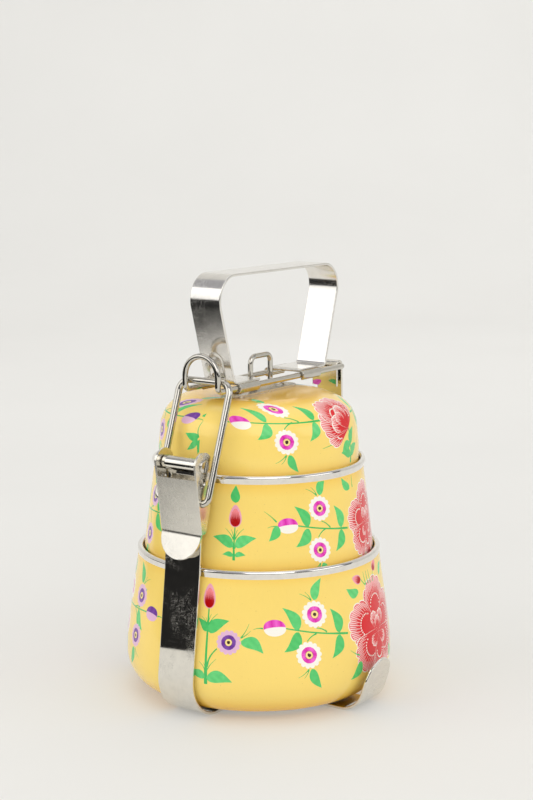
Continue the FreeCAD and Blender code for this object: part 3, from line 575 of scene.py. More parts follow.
def bow(start, centre, degrees, step=1.0):
    """Points of a profile arc (radius, height) about a centre, leaving the start out."""
    x, y = start[0] - centre[0], start[1] - centre[1]
    sweep_angle = radians(degrees)
    count = max(2, ceil(abs(sweep_angle) * hypot(x, y) / step))
    out = []
    for index in range(1, count + 1):
        c, s = cos(sweep_angle * index / count), sin(sweep_angle * index / count)
        out.append((centre[0] + x * c - y * s, centre[1] + x * s + y * c))
    return out


def run(start, end, step=2.2):
    """Points of a straight piece of a profile, leaving the start out."""
    count = max(1, ceil(dist(start, end) / step))
    return [
        (start[0] + (end[0] - start[0]) * k / count, start[1] + (end[1] - start[1]) * k / count)
        for k in range(1, count + 1)
    ]


def chord_arc(start, end, radius, step=1.0):
    """Points of the profile arc from start to end with a radius, turning left when positive."""
    middle = ((start[0] + end[0]) / 2, (start[1] + end[1]) / 2)
    along = (end[0] - start[0], end[1] - start[1])
    length = hypot(*along)
    rise = sqrt(max(radius**2 - (length / 2) ** 2, 0.0))
    sign = 1 if radius > 0 else -1
    offset = rise * sign / length
    centre = (middle[0] - along[1] * offset, middle[1] + along[0] * offset)
    degrees = 2 * to_degrees(asin(min(1.0, length / 2 / abs(radius)))) * sign
    return bow(start, centre, degrees, step)


WALL = 1.0
RIM_BAND = 1.4
RIM_TURN = -20
RIM_ROLL = 265


def first_meeting(start, slope, centre, radius):
    """The height at which a line that rises from start first meets a circle."""
    x, y = start[0] - centre[0], start[1] - centre[1]
    a = slope**2 + 1
    b = x * slope + y
    return start[1] - (b + sqrt(b * b - a * (x * x + y * y - radius**2))) / a


def bowl_profile(base, flat, corner, belly, neck, bead, bead_radius, ledge):
    """A bowl's section in three rows: the painted outside, from the base's edge up to the band
    under the rolled rim; the bare rim; and the bare inside with its seat ledge, and the underside.
    belly is (radius, degrees) of the side's curve, or None."""
    side = (flat + corner, base + corner)
    centre = (flat, side[1])
    painted = [(flat, base)] + bow((flat, base), centre, 90, corner / 13)
    if belly:
        belly_centre = (side[0] - belly[0], side[1])
        painted += bow(side, belly_centre, belly[1], 2.0)
    turn = painted[-1] if belly else side
    slope = (neck[0] - turn[0]) / (neck[1] - turn[1])

    def outside(height):
        return turn[0] + slope * (height - turn[1])

    meet = first_meeting(turn, slope, bead, bead_radius) - RIM_BAND
    painted += run(turn, (outside(meet), meet))
    start = radians(RIM_TURN)
    lip = (bead[0] + bead_radius * cos(start), bead[1] + bead_radius * sin(start))
    rim = run(painted[-1], lip, 0.6) + bow(lip, bead, RIM_ROLL - RIM_TURN, bead_radius / 5)
    top, radius = ledge
    wall = outside(top - WALL) - WALL
    inner = [(wall - 0.1, top), (radius, top), (radius, top - WALL), (wall, top - WALL)]
    inner_turn = (turn[0] - WALL, turn[1])
    inner += run(inner[-1], inner_turn, 6)
    if belly:
        inner += bow(inner_turn, belly_centre, -belly[1], 4)
    inner += bow(inner[-1], centre, -90, corner / 6)
    floor = base + WALL
    return painted, rim, inner + [(flat / 2, floor), (0, floor), (0, base), (flat / 2, base)]


def lid_profile():
    """The lid's section: the painted outside, from its edge up to the plate on its top; the
    middle under the plate; and the bare inside."""
    skirt, shoulder, flat = 52.4, (42.5, 154.9), (29.0, 158.3)
    step_level, side = 131.0, (51.4, 141.0)
    low = 119.4
    painted = [(skirt, low + 0.8)]
    painted += run(painted[0], (skirt, step_level))
    painted += run(painted[-1], side)
    painted += chord_arc(side, shoulder, 17.0, 1.0)
    painted += chord_arc(shoulder, flat, 28.5, 1.2)
    painted += run(flat, (4.0, flat[1]), 2.4)
    inner_flat, inner_shoulder, inner_side = (29, 157.3), (42.02, 154.02), (50.4, 141.0)
    inside = [(0, inner_flat[1]), inner_flat]
    inside += chord_arc(inner_flat, inner_shoulder, -27.5, 2)
    inside += chord_arc(inner_shoulder, inner_side, -16.0, 2)
    inside += [(skirt - WALL, step_level), (skirt - WALL, low), (skirt - 0.4, low)]
    return painted, [(0, flat[1])], inside


# --- the painted pattern

YELLOW = linear(250, 218, 118)
# painted shade: the orange-yellow that the yellow deepens to near the bowls' bases and rims and
# over the lid's top and edge
PAINTED_SHADE_AMBER = linear(246, 194, 72)
LEAF = linear(84, 202, 112)
LEAF_DARK = linear(48, 176, 84)
WHITE = linear(250, 246, 236)
MAGENTA = linear(222, 34, 172)
MAGENTA_LIGHT = linear(244, 104, 212)
CREAM = linear(252, 226, 150)
BLACK = linear(70, 48, 34)
PURPLE = linear(104, 48, 148)
PURPLE_LIGHT = linear(130, 78, 172)
LILAC = linear(228, 184, 216)
ROSE = linear(240, 70, 80)
PINK = linear(252, 146, 152)
RED = linear(218, 8, 24)
CRIMSON = linear(176, 4, 8)
BLUSH = linear(252, 222, 218)
MAGENTA_STYLE = (MAGENTA, MAGENTA_LIGHT, WHITE)
PURPLE_STYLE = (PURPLE, PURPLE_LIGHT, LILAC)
# mm over which the painted shade fades back into the yellow
PAINTED_SHADE_FADE = 11


def blended(first, second, share):
    share = min(1.0, max(0.0, share))
    return tuple(a + (b - a) * share for a, b in zip(first, second))


class Paint:
    """Coloured outlines on a surface that is turned about the vertical axis. An outline's points
    are (u, v): u along the circumference at the reference radius, v along the profile, in mm.
    The background yellow is painted with shade, an orange-yellow, up to the first given distance
    along the profile and again from the second given distance past its end."""

    def __init__(self, profile, shade_ends):
        self.profile = profile
        self.lengths = [0.0]
        for before, after in zip(profile, profile[1:]):
            self.lengths.append(self.lengths[-1] + dist(before, after))
        self.radius = max(p[0] for p in profile)
        self.shade_ends = (shade_ends[0], self.lengths[-1] + shade_ends[1])
        self.outlines = []

    def shaded_ground(self, v):
        """The yellow at a distance along the profile, deepened towards its ends by painted shade.
        """
        inward = min(v - self.shade_ends[0], self.shade_ends[1] - v)
        return blended(PAINTED_SHADE_AMBER, YELLOW, inward / PAINTED_SHADE_FADE)

    def along(self, height):
        """Distance along the profile to a height on the side."""
        heights = [p[1] for p in self.profile]
        return float(np.interp(height, heights, self.lengths))


class Spot:
    """A place on a painted surface, at an angle about the axis and a distance v along the profile.
    Outlines are given in mm to the right of it and up from it."""

    def __init__(self, paint, angle, v):
        self.paint = paint
        self.u = radians(angle) * paint.radius
        self.v = v

    def add(self, points, colour):
        """Adds an outline. Its colour is one tone or a function of the point."""
        radii = [p[0] for p in self.paint.profile]
        placed = []
        for x, y in points:
            radius = max(float(np.interp(self.v + y, self.paint.lengths, radii)), 3.0)
            placed.append((self.u + x * self.paint.radius / radius, self.v + y))
        ring = placed[-1:] + placed
        if sum(a[0] * b[1] - b[0] * a[1] for a, b in zip(ring, ring[1:])) < 0:
            placed.reverse()
        self.paint.outlines.append((placed, colour, self.u, self.v))


def ring_points(radius, count, wobble=0.0, at=(0, 0), scallops=0, depth=0.0, phase=0.0):
    """A round outline, slightly uneven, with scallops if asked for."""
    out = []
    for k in range(count):
        a = 2 * pi * k / count
        r = radius * (1 + rng.uniform(-wobble, wobble))
        if scallops:
            r *= 1 - depth * (1 - abs(sin((a + phase) * scallops / 2)) ** 0.6)
        out.append((at[0] + r * cos(a), at[1] + r * sin(a)))
    return out


def turned(points, degrees, at=(0, 0)):
    c, s = cos(radians(degrees)), sin(radians(degrees))
    return [(at[0] + x * c - y * s, at[1] + x * s + y * c) for x, y in points]


def flower(spot, x, y, size, style):
    """A round daisy with scalloped petals, a streaked ring and a cream eye with a dark dot."""
    ring, ring_light, petal_colour = style
    phase = rng.uniform(0, 6)
    outer = ring_points(size, 132, 0.004, scallops=14, depth=0.17, at=(x, y), phase=phase)
    spot.add(outer, petal_colour)
    middle = ring_points(size * 0.6, 40, 0.02, at=(x, y))

    def streaked(px, py):
        way = atan2(py - y, px - x)
        away = hypot(px - x, py - y) / size
        return blended(ring, ring_light, 0.45 + 0.5 * sin(3 * way + phase) + 0.5 * (away - 0.4))

    spot.add(middle, streaked)
    streaks = 22
    for k in range(streaks):
        way = 2 * pi * (k + rng.uniform(-0.3, 0.3)) / streaks
        near, far = size * rng.uniform(0.36, 0.44), size * rng.uniform(0.52, 0.59)
        line = fan_line(way, near, far, 0.02, 0.05)
        tone = blended(ring, ring_light, rng.uniform(0.1, 1.0))
        spot.add([(x + a, y + b) for a, b in line], tone)
    spot.add(ring_points(size * 0.31, 24, 0.03, at=(x, y)), BLACK)
    spot.add(ring_points(size * 0.285, 24, 0.03, at=(x, y)), CREAM)
    spot.add(ring_points(size * 0.14, 14, 0.14, at=(x, y)), BLACK)


def fan_line(way, near, far, near_half, far_half):
    """A thin wedge along one direction from the centre."""
    return [
        (near * cos(way - near_half), near * sin(way - near_half)),
        (far * cos(way - far_half), far * sin(way - far_half)),
        (far * cos(way + far_half), far * sin(way + far_half)),
        (near * cos(way + near_half), near * sin(way + near_half)),
    ]


def leaf(spot, x, y, length, width, degrees, curve=0.3):
    """A pointed leaf whose base is at (x, y), growing along the given direction."""
    count = 16
    upper, lower = [], []
    for k in range(count + 1):
        s = k / count
        half = width / 2 * sin(pi * s**0.72) ** 0.85 * (1 - 0.35 * s * s)
        bend = curve * width * sin(pi * s)
        upper.append((s * length, bend + half))
        lower.append((s * length, bend - half))
    outline = turned(lower + list(reversed(upper[1:-1])), degrees, (x, y))
    shade = rng.uniform(0, 1)
    light = blended(LEAF, linear(112, 218, 132), shade)

    def brushed(px, py):
        return blended(light, LEAF_DARK, 0.4 * (0.5 + 0.5 * sin(px * 1.5 + py * 1.1 + shade * 6)))

    spot.add(outline, brushed)


def stroke(spot, start, end, width, bend=0.0, taper=0.8):
    """A brush stroke that thins towards its end, bowed sideways by bend."""
    count = 12
    dx, dy = end[0] - start[0], end[1] - start[1]
    length = hypot(dx, dy)
    nx, ny = -dy / length, dx / length
    left, right = [], []
    for k in range(count + 1):
        s = k / count
        off = bend * sin(pi * s)
        half = width / 2 * (1 - taper * s) * (0.75 + 0.25 * sin(pi * min(1, s * 3 + 0.2)))
        cx, cy = start[0] + dx * s + nx * off, start[1] + dy * s + ny * off
        left.append((cx + nx * half, cy + ny * half))
        right.append((cx - nx * half, cy - ny * half))
    spot.add(right + list(reversed(left)), lambda x, y: blended(LEAF, LEAF_DARK, 0.55))


def bud(spot, x, y, size, tilt, style):
    """A closed flower lying along its stem: coloured above, pale below."""
    ring, ring_light, petal_colour = style
    half, tall = size / 2, size * 0.38
    upper, lower, split = [], [], []
    for k in range(17):
        s = k / 16
        along = half * cos(pi * s)
        upper.append((along, tall * sin(pi * s) ** 0.9))
        lower.append((along, -tall * 0.95 * sin(pi * s) ** 0.8))
        split.append((along, -tall * 0.1 + tall * 0.22 * sin(pi * s)))
    whole = turned(upper + list(reversed(lower[1:-1])), tilt, (x, y))
    cap = turned(upper + list(reversed(split)), tilt, (x, y))
    spot.add(whole, petal_colour)

    def glow(px, py):
        return blended(ring, ring_light, 0.5 + 0.45 * sin((px - x) * 1.4))

    spot.add(cap, glow)


def tulip(spot, x, y, height, width, tilt=0):
    """A closed bud on a stem, standing up: pale outside, red flames inside."""
    outline, inner = [], []
    for k in range(36):
        a = 2 * pi * k / 36
        up = 0.5 - 0.5 * cos(a)
        wide = sin(a) * (1 - 0.45 * up) * (1 - 0.25 * max(0.0, up - 0.7))
        outline.append((wide * width * 0.56, height * up))
        inner.append((wide * width * 0.44, height * (0.03 + 0.8 * up)))
    spot.add(turned(outline, tilt, (x, y)), lambda px, py: blended(PINK, LILAC, 0.5))

    def flame(px, py):
        share = hypot(px - x, py - y) / height
        return blended(CRIMSON, PINK, (share - 0.34) * 1.7)

    spot.add(turned(inner, tilt, (x, y)), flame)
    for k in range(7):
        off = (k - 3) / 3
        near, far = 0.34 + 0.08 * (k % 2), 0.8 - 0.1 * abs(off)
        line = [
            (off * width * 0.28, height * near),
            (off * width * 0.25 + 0.24, height * far),
            (off * width * 0.25 - 0.24, height * far),
        ]
        spot.add(turned(line, tilt, (x, y)), PINK)


def petal_edge(radius, spread, scallops, depth, count=60):
    """A fan-shaped petal opening upward from (0, 0), its outer edge scalloped."""
    out = [(0.0, -radius * 0.05)]
    for k in range(count + 1):
        s = k / count
        a = radians(90 - spread / 2 + spread * s)
        r = radius * (1 - depth * (1 - abs(sin(pi * scallops * s)) ** 0.5))
        r *= 0.6 + 0.4 * sin(pi * s) ** 0.5
        out.append((r * cos(a), r * sin(a)))
    return out


def petal(spot, at, facing, radius, spread, light, dark, dots=13):
    """One peony petal: white edge, red shading, fine white brush lines and a row of dots."""
    turn = facing - 90
    scallops = max(4, round(spread / 15))
    outer = petal_edge(radius, spread, scallops, 0.07)
    inset = 1 - min(0.6, 0.045 * radius) / radius
    inner = petal_edge(radius, spread * 0.975, scallops, 0.07)
    inner = [(px * inset, py * inset) for px, py in inner]
    spot.add(turned(outer, turn, at), WHITE)

    def body(x, y):
        away = hypot(x - at[0], y - at[1]) / radius
        return blended(dark, light, (away - 0.7) * 2.4)

    spot.add(turned(inner, turn, at), body)
    lines = max(7, round(radius * spread / 74))
    for k in range(lines):
        s = (k + 0.5) / lines
        a = radians(90 - spread * 0.46 + spread * 0.92 * s)
        fall = 0.6 + 0.4 * sin(pi * s) ** 0.5
        far = radius * 0.95 * fall
        near = radius * (0.64 + 0.1 * (k % 2) + rng.uniform(-0.03, 0.03)) * fall
        half = 0.15 / radius
        spot.add(turned(fan_line(a, near, far, half, 2.2 * half), turn, at), BLUSH)
    for k in range(dots):
        s = (k + 0.5) / dots
        a = radians(90 - spread * 0.36 + spread * 0.72 * s)
        r = radius * 0.62 * (0.6 + 0.4 * sin(pi * s) ** 0.5)
        centre = (r * cos(a), r * sin(a))
        dot = turned(ring_points(min(0.46, radius * 0.024), 8, 0.0, at=centre), turn, at)
        spot.add(dot, WHITE)


def peony(spot, size):
    """A large open flower: broad outer petals, then smaller ones folded over its heart."""
    for facing, reach, spread, at in (
        (88, 1.0, 82, (0, 0.02)),
        (20, 0.96, 84, (0.04, 0.0)),
        (160, 0.96, 84, (-0.04, 0.0)),
        (318, 0.94, 84, (0.03, -0.05)),
        (222, 0.94, 84, (-0.03, -0.05)),
        (270, 0.8, 60, (0, -0.12)),
    ):
        place_at = (at[0] * size, at[1] * size)
        light = PINK if facing in (88, 20, 160) else ROSE
        petal(spot, place_at, facing, size * reach, spread, light, RED)
    heart = (0, -0.12 * size)
    folded = ((112, 0.48, 48), (64, 0.48, 48), (212, 0.34, 64), (328, 0.34, 64))
    for facing, reach, spread in folded:
        petal(spot, heart, facing, size * reach, spread, ROSE, RED, 0)
    petal(spot, heart, 88, size * 0.34, 64, PINK, RED, 0)


def side_peony(spot, size, lean):
    """A large flower seen from the side: a fan of petals over its calyx, leaning by degrees."""
    outer = ((62, 0.78, 62), (-62, 0.78, 62), (34, 0.95, 66), (-34, 0.95, 66), (0, 1.0, 70))
    for facing, reach, spread in outer:
        petal(spot, (0, 0), lean + facing, size * reach, spread, PINK, RED)
    for facing, reach in ((30, 0.6), (-30, 0.6), (0, 0.5)):
        petal(spot, (0, 0), lean + facing, size * reach, 62, ROSE, RED, 0)


def twigs(spot, x, y, facing, side, length=5.0):
    """Two short strokes of grass that spread from one place."""
    for spread, share in ((0, 1.0), (24, 0.75)):
        a = radians(facing + side * spread)
        end = (x + share * length * cos(a), y + share * length * sin(a))
        stroke(spot, (x, y), end, 0.7, 0.4 * side, 0.7)


def branch(spot, side, gap, reach, flowers, size, style, rise=3.0, leafy=1.0):
    """A stem that runs sideways from a peony to a bud, with a flower above it and one below.
    side is -1 to the left, gap and reach the stem's ends from the peony's centre, and flowers
    the (distance, height) of the two flowers."""

    def facing(degrees):
        return degrees if side > 0 else 180 - degrees

    stroke(spot, (side * gap, 0), (side * (reach - 4), rise), 1.15, -0.5 * side, 0.25)
    long, wide = 12.5 * leafy, 6.2 * leafy
    span = reach - gap
    for share, up, down in ((0.13, 72, -60), (0.7, 60, -46)):
        x = side * (gap + span * share)
        y = rise * share
        leaf(spot, x, y + 0.4, long * 1.08, wide, facing(up), 0.3 * side)
        leaf(spot, x, y - 0.6, long * 1.04, wide, facing(down), -0.3 * side)
    for x, y in flowers:
        root = side * (x - 0.14 * span)
        up = 1 if y > 0 else -1
        stroke(spot, (root, rise * 0.4), (side * x, y - up * size), 0.9, 0.5 * side, 0.3)
        flower(spot, side * x, y, size, style)
        tip = y + up * (size + 0.2)
        turn = facing(up * 118)
        leaf(spot, side * (x - 0.6), tip, 12 * leafy, 5.2 * leafy, turn, -0.2 * side * up)
        twigs(spot, side * (x + 0.8), tip, facing(up * 34), up * side, 7)
    bud(spot, side * reach, rise, size * 1.62, -4 * side, style)
    tip = side * (reach + 0.85 * size)
    stroke(spot, (tip, rise), (tip + side * 5, rise - 0.6), 0.8, 0.4 * side)


def standing_tulip(spot, stem, height, width, leaves, leafy=1.0):
    """A tulip on an upright stem. leaves are (height on the stem, side, direction, length)."""
    stroke(spot, (0, 0), (0.3, stem + 0.8), 2.0 * leafy, 0.2, 0.55)
    for up, side, degrees, length in leaves:
        turn = degrees if side > 0 else 180 - degrees
        leaf(spot, side * 0.4, up, length, length * 0.5, turn, 0.22 * side)
        twigs(spot, side * 0.4, up + 3.4, 52 if side > 0 else 128, side, length * 0.6)
    tulip(spot, 0.3, stem, height, width)


# --- turned and painted shells

COLUMNS = 180
SEAM = 181.0
EDGE = 0.25
SOFT_BEND = cos(radians(40))


def normals_of(along):
    """The outward normals (radial, upward) of directions along an anticlockwise section."""
    along = along / np.linalg.norm(along, axis=1, keepdims=True)
    return np.stack([along[:, 1], -along[:, 0]], 1)


def end_normals(section):
    """The normals at both ends of each piece of a section, shared where the bend is soft."""
    own = normals_of(np.diff(section, axis=0))
    ends = np.stack([own, own], 1)
    for row in range(len(own) - 1):
        if own[row] @ own[row + 1] >= SOFT_BEND:
            shared = own[row] + own[row + 1]
            ends[row, 1] = ends[row + 1, 0] = shared / np.linalg.norm(shared)
    return ends


def around(radius, angle, height):
    """Points about the vertical axis."""
    return np.stack(np.broadcast_arrays(radius * np.cos(angle), radius * np.sin(angle), height), -1)


def pattern_mesh(paint):
    """The painted side as triangles in (u, v), cut along every outline. Returns the points, the
    triangles, the outlines that hold each triangle, and each outline's colour and place."""
    start, unit, rows = radians(SEAM), paint.radius, paint.lengths
    wide = COLUMNS + 1
    points = []
    for v in rows:
        points += [(unit * (start + 2 * pi * k / COLUMNS), v) for k in range(wide)]
    top = (len(rows) - 1) * wide
    rim = [(k, k + 1) for k in range(COLUMNS)] + [(top + k, top + k + 1) for k in range(COLUMNS)]
    for row in range(0, top, wide):
        rim += [(row, row + wide), (row + COLUMNS, row + wide + COLUMNS)]
    faces, colours = [], []
    low, high = (unit * start + EDGE, EDGE), (unit * (start + 2 * pi) - EDGE, rows[-1] - EDGE)
    for turn in (0, pi * unit):
        for placed, colour, u0, v0 in paint.outlines:
            inside = np.clip(np.array(placed) + (turn, 0), low, high)
            if min(np.ptp(inside, axis=0)) < EDGE:
                continue
            faces.append(list(range(len(points), len(points) + len(inside))))
            points += inside.tolist()
            colours.append((colour, u0 + turn, v0))
    flat, _, triangles, _, _, owners = delaunay_2d_cdt(
        [Vector(p) for p in points], rim, faces, 0, 1e-6, True
    )
    return np.array([tuple(p) for p in flat]), triangles, owners, colours


def turned_mesh(name, paint, rim, inner):
    """The painted side, then the bare rim and inside, turned about the vertical axis."""
    flat, triangles, owners, colours = pattern_mesh(paint)
    profile = np.array(paint.profile)
    padded = np.array([paint.profile[0], *paint.profile, paint.profile[-1]])
    facing = normals_of(padded[2:] - padded[:-2])
    theta = flat[:, 0] / paint.radius
    radius, height, outward, upward = (
        np.interp(flat[:, 1], paint.lengths, row) for row in (*profile.T, *facing.T)
    )
    vertices = around(radius, theta, height)
    painted_normals = around(outward, theta, upward)
    polygons = [list(t) for t in triangles]
    normals = [painted_normals[t] for t in polygons]
    section = np.array([paint.profile[-1], *rim, *inner, paint.profile[0]])
    angles = radians(SEAM) + 2 * pi * np.arange(COLUMNS) / COLUMNS
    bare = around(section[:, :1], angles, section[:, 1:])
    for row, ends in enumerate(end_normals(section)):
        here = len(vertices) + row * COLUMNS
        near, far = (around(end[0], angles, end[1]) for end in ends)
        for k in range(COLUMNS):
            after = (k + 1) % COLUMNS
            polygons.append([here + k, here + after, here + COLUMNS + after, here + COLUMNS + k])
            normals.append([near[k], near[after], far[after], far[k]])
    vertices = np.concatenate([vertices, bare.reshape(-1, 3)])
    mesh = new_mesh(name, (vertices * MM).tolist(), polygons)
    index = np.zeros(len(polygons), np.int32)
    index[len(triangles):] = 1
    index[len(triangles) + len(rim) * COLUMNS:] = 2
    for material in (enamel_paint, rim_steel, inner_steel):
        mesh.materials.append(material)
    mesh.polygons.foreach_set("material_index", index)
    values = np.ones((len(mesh.loops), 4), np.float32)
    values[:, :3] = YELLOW
    for row, (triangle, owner) in enumerate(zip(triangles, owners)):
        for k, corner in enumerate(triangle):
            u, v = flat[corner]
            if owner:
                colour, u0, v0 = colours[max(owner)]
                away = (u - u0) * radius[corner] / paint.radius
                tone = colour(away, v - v0) if callable(colour) else colour
            # bare yellow, with its painted shade towards the ends of the profile
            else:
                tone = paint.shaded_ground(v)
            values[3 * row + k, :3] = tone
    attribute = mesh.color_attributes.new("paint", "FLOAT_COLOR", "CORNER")
    attribute.data.foreach_set("color", values.ravel())
    return mesh, np.concatenate(normals)


def shell(name, body, node, paint, rim, inner):
    """The piece: its mesh closed by joining equal points, with the normals of the true curve."""
    mesh, normals = turned_mesh(name, paint, rim, inner)
    keyed = mesh.attributes.new("turned_normal", "FLOAT_VECTOR", "CORNER")
    keyed.data.foreach_set("vector", normals.astype(np.float32).ravel())
    joined = bmesh.new()
    joined.from_mesh(mesh)
    bmesh.ops.remove_doubles(joined, verts=joined.verts, dist=0.0000015)
    joined.to_mesh(mesh)
    joined.free()
    kept = np.empty(len(mesh.loops) * 3, np.float32)
    keyed = mesh.attributes["turned_normal"]
    keyed.data.foreach_get("vector", kept)
    mesh.attributes.remove(keyed)
    mesh.normals_split_custom_set(kept.reshape(-1, 3).tolist())
    place(name, mesh, None, body, [node], "yellow_enamel")


def paint_lower():
    painted, rim, inner = bowl_profile(
        base=3.0, flat=51.5, corner=18.5, belly=(110.0, 8.2), neck=(63.4, 75.6),
        bead=(62.4, 76.6), bead_radius=1.6, ledge=(71.6, 52.5),
    )
    # painted shade deepens the yellow near the base and, less, under the rim
    paint = Paint(painted, (11.0, 7.0))
    middle = paint.along(height=47)
    front, below = Spot(paint, 277, middle), Spot(paint, 278, middle)
    stem = Spot(paint, 193.3, paint.along(height=21))
    left = Spot(paint, 277, middle - 4)
    branch(left, -1, 24, 64, [(42.5, 12.5), (48.5, -7.4)], 6.9, MAGENTA_STYLE, 7.2)
    branch(front, 1, 24, 75, [(61, 9), (62, -12.5)], 6.3, PURPLE_STYLE, 2.5)
    for y in (8.5, -11):
        flower(front, 40, y, 6.9, MAGENTA_STYLE)
        leaf(front, 40, y + copysign(7, y), 9.5, 4.8, copysign(74, y), 0.2)
    peony(Spot(paint, 279, middle - 6.5), 26.5)
    for x, y, tilt in ((-9.5, 21, 68), (4.5, 23, -30)):
        stroke(front, (x * 0.6, 17), (x, y), 0.8, 0.2, 0.3)
        tulip(front, x, y - 1, 7.0, 5.4, tilt)
    for x in (-5, -2.5, 0):
        stroke(front, (x, 17), (x - 1.5, 24), 0.9, 0.2, 0.6)
    leaf(front, -12.5, 14.5, 9.5, 5.4, 158, 0.25)
    leaf(front, 13, 18, 9.5, 4.8, 35, 0.25)
    for side in (-1, 1):
        leaf(below, side * 17, -20.5, 11.5, 5.4, -90 + side * 46, -0.25 * side)
        stroke(below, (side * 18.5, -17), (side * 25, -13), 0.9, 0.3)
    leaves = [(3.5, 1, -6, 13.5), (3.5, -1, 10, 9), (26.5, 1, 30, 12.5), (26.5, -1, 52, 8)]
    standing_tulip(stem, 38, 12.5, 7.2, leaves)
    stroke(stem, (0.6, 9), (5.5, 18.5), 1.2, 1.0, 0.3)
    flower(stem, 11.3, 22, 6.2, PURPLE_STYLE)
    leaf(stem, 17.5, 23, 13, 6.5, -28, 0.3)
    twigs(stem, 17.3, 24.5, 62, -1, 8)
    shell("lower_bowl_shell", "carrier", "lower_bowl", paint, rim, inner)


def paint_upper():
    painted, rim, inner = bowl_profile(
        base=71.6, flat=54.0, corner=6.2, belly=None, neck=(54.7, 121.8),
        bead=(54.5, 122.9), bead_radius=1.5, ledge=(119.4, 50.0),
    )
    # painted shade deepens the yellow near the base and under the rim
    paint = Paint(painted, (5.0, 5.0))
    middle = paint.along(height=98.5)
    front, left = Spot(paint, 286, middle), Spot(paint, 286, middle - 4.6)
    stem = Spot(paint, 203.5, paint.along(height=82.5))
    branch(left, -1, 20, 56, [(37.5, 12.6), (40.5, -8.1)], 6.4, MAGENTA_STYLE, 5.4, 0.92)
    branch(front, 1, 20, 56, [(39, 8.5), (38, -12)], 5.8, PURPLE_STYLE, 1.5, 0.9)
    leaf(front, -61, 1.0, 9.5, 4.6, -128, 0.2)
    stroke(front, (-61.5, 3.0), (-67, 8.5), 0.9, -0.3)
    peony(Spot(paint, 287, middle - 4.5), 21)
    for x, degrees in ((-14.5, 132), (17.5, 58)):
        leaf(front, x, 14.5, 9.0, 4.8, degrees, 0.2)
        stroke(front, (x * 0.8, 15), (x * 0.78, 21), 0.9, 0.2, 0.6)
    leaves = [(2.5, 1, 2, 5.5), (2.5, -1, 2, 5.5), (7.0, 1, 22, 11.5), (7.0, -1, 22, 11.5)]
    standing_tulip(stem, 16.5, 11.2, 7.2, leaves, 0.75)
    leaf(stem, 0.3, 28.6, 8.8, 5.0, 90, 0.05)
    shell("upper_bowl_shell", "upper_bowl", "upper_bowl", paint, rim, inner)


def paint_lid():
    painted, middle, inside = lid_profile()
    # painted shade deepens the yellow at the skirt's edge and over the top beneath the frame
    paint = Paint(painted, (-2.0, -28.0))
    belt = paint.along(height=149.3)
    front, below = Spot(paint, 273.5, belt), Spot(paint, 278, belt)
    branch(front, -1, 14, 58, [(34.5, 9.6), (38, -9.5)], 6.3, MAGENTA_STYLE, 0.8, 0.85)
    branch(front, 1, 14, 64, [(43, 9.6), (41.5, -9.5)], 6.0, PURPLE_STYLE, 0.8, 0.85)
    stroke(below, (1, -25), (1, -7), 1.6, -0.4, 0.3)
    for y, side, degrees in ((-21, -1, 166), (-21, 1, 30), (-14.5, -1, 208), (-15, 1, 56)):
        leaf(below, 1.0, y, 9.8, 5.4, degrees, 0.2 * side)
    for y, reach in ((-10, 12), (-12.5, 17)):
        stroke(below, (-5, y + 2), (-5 - reach, y - 2), 1.0, 0.4, 0.7)
    side_peony(Spot(paint, 278, belt - 7), 23, 128)
    sprig = ((77.5, -8.5, 172, 9.5), (78.2, -9.5, 272, 7.5), (77, -9.5, 226, 8.5), (69, 3.5, 8, 9))
    for x, y, degrees, length in sprig:
        leaf(front, x, y, length, length * 0.46, degrees, 0.15)
    stroke(front, (77.5, -8.5), (74, 0.5), 0.8, 0.5, 0.4)
    shell("lid_shell", "lid", "lid", paint, middle, inside)


paint_lower()
paint_upper()
paint_lid()


# --- floor, world, lights

bpy.context.scene.view_settings.view_transform = "Standard"

BACKDROP = (0.80, 0.79, 0.765, 1)
# the floor's own glow near the object: painted light that fills the shadow beneath it
FLOOR_GLOW = 0.305
AWAY = Vector((cos(radians(35.6)), sin(radians(35.6)), 0))
DARK_SIDE = Vector((cos(radians(144)), sin(radians(144)), 0))


def sheet(name, along, rows, material):
    """A stage surface of (distance along, half width, height) rows, in metres."""
    across = Vector((-along.y, along.x, 0))
    points = []
    for distance, half, height in rows:
        points += [along * distance + across * side * half + RISE * height for side in (-1, 1)]
    faces = [(2 * k, 2 * k + 1, 2 * k + 3, 2 * k + 2) for k in range(len(rows) - 1)]
    mesh = new_mesh(name, points, faces)
    mesh.materials.append(material)
    surface = new_object(name, mesh)
    return surface


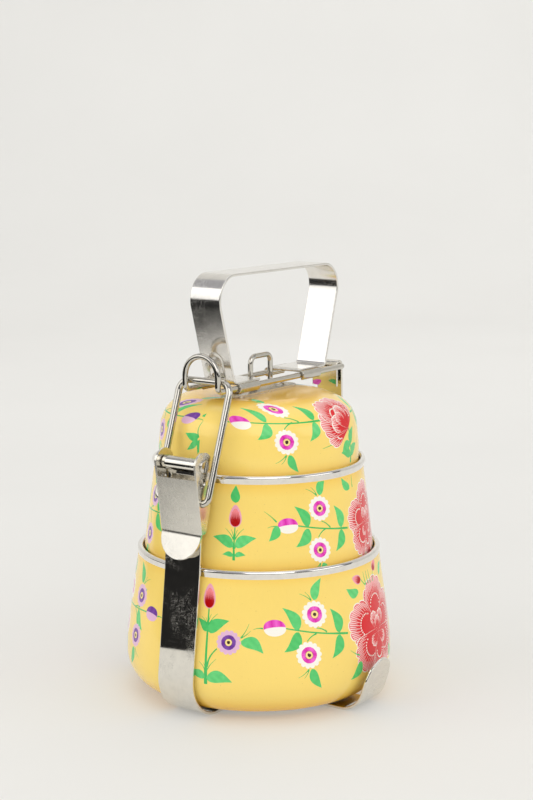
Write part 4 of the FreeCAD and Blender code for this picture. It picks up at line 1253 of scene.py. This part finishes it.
def studio_floor():
    """A pale floor that glows a little: painted light that lightens the shadow under the object and
    lights the bowls from below. It curves up behind the object, and far in front it fades into the
    plain background."""
    nodes = Nodes(bpy.data.materials.new("studio_floor"))
    plain = nodes.position()
    cloud = nodes.ramp(nodes.noise(plain, 3, 4.0), 0.3, 0.7)
    tone = nodes.mix(cloud, (0.55, 0.543, 0.525, 1), (0.57, 0.563, 0.545, 1))
    spread = nodes.add("ShaderNodeVectorMath", {0: plain}, operation="LENGTH").outputs["Value"]
    front = nodes.add("ShaderNodeVectorMath", {0: plain, 1: -AWAY}, operation="DOT_PRODUCT")
    front = nodes.ramp(front.outputs["Value"], -1.5, 0.5)
    fade = nodes.math("MULTIPLY", nodes.ramp(spread, 2.0, 6.0), front)
    # the glow near the object is painted light; far away it rises to match the background
    glow = nodes.math("ADD", FLOOR_GLOW, nodes.math("MULTIPLY", fade, 1 - FLOOR_GLOW))
    bump = nodes.bump(nodes.noise(plain, 400, 2.0), 0.04, 0.0005)
    nodes.set(Base_Color=nodes.mix(fade, tone, (0, 0, 0, 1)), Specular_IOR_Level=0.2)
    nodes.set(Roughness=0.85, Normal=bump, Emission_Color=BACKDROP, Emission_Strength=glow)
    half, turn_at = 30, 1.6
    rows = [(distance, half, 0.0) for distance in (-30.0, -6.0, -2.0, turn_at)]
    for k in range(1, 25):
        angle = radians(90 * k / 24)
        rows.append((turn_at + sin(angle), half, 1 - cos(angle)))
    rows.append((turn_at + 1, half, 5.0))
    sheet("studio_floor", AWAY, rows, nodes.owner)


def world():
    """A pale room. Polished metal sees it dark near the horizon and lighter above."""
    nodes = Nodes(bpy.data.worlds.new("studio"), "Background")
    where = nodes.add("ShaderNodeTexCoord").outputs["Generated"]
    height = nodes.add("ShaderNodeSeparateXYZ", {0: where}).outputs["Z"]
    mirrored = nodes.mix(nodes.ramp(height, 0.12, 0.5), (0.03, 0.03, 0.031, 1), (0.4, 0.4, 0.42, 1))
    rays = nodes.add("ShaderNodeLightPath").outputs
    seen = nodes.mix(rays["Is Camera Ray"], (0.70, 0.70, 0.69, 1), BACKDROP)
    nodes.set(Color=nodes.mix(rays["Is Glossy Ray"], seen, mirrored))
    bpy.context.scene.world = nodes.owner


def dark_reflection_card():
    """A dark sheet beside the latch that only glossy rays see: a painted dark reflection in the
    polished steel.
    """
    nodes = Nodes(bpy.data.materials.new("dark_reflection_card"))
    cloud = nodes.noise(nodes.position(), 6, 3.0)
    nodes.set(Base_Color=nodes.mix(cloud, (0.015, 0.015, 0.016, 1), (0.02, 0.02, 0.02, 1)))
    nodes.set(Roughness=1.0, Specular_IOR_Level=0.0)
    card = sheet("dark_reflection_card", DARK_SIDE, [(0.32, 0.6, 0.004), (25, 14.0, 0.004)], nodes.owner)
    # hidden from the camera, from diffuse light and from shadows: it only paints a dark reflection
    # into the steel
    card.visible_camera = card.visible_diffuse = card.visible_shadow = False


studio_floor()
world()
dark_reflection_card()
area_light("key", (-1.25, -1.35, 1.5), (0, 0, 0.1), 1.7, 1.7, 14, (1.0, 0.985, 0.96))
area_light("left", (-1.15, 0.85, 0.72), (0, 0, 0.12), 1.4, 1.05, 5.3, (1.0, 0.99, 0.97))
area_light("right", (0.35, -1.5, 0.7), (0, 0, 0.1), 1.0, 0.8, 3)
area_light("top", (0.3, 0.1, 1.9), (0, 0, 0), 1.8, 1.8, 5)
area_light("backdrop", (1.0, 0.2, 1.6), (2.4, 1.5, 0.6), 1.4, 1.0, 8)
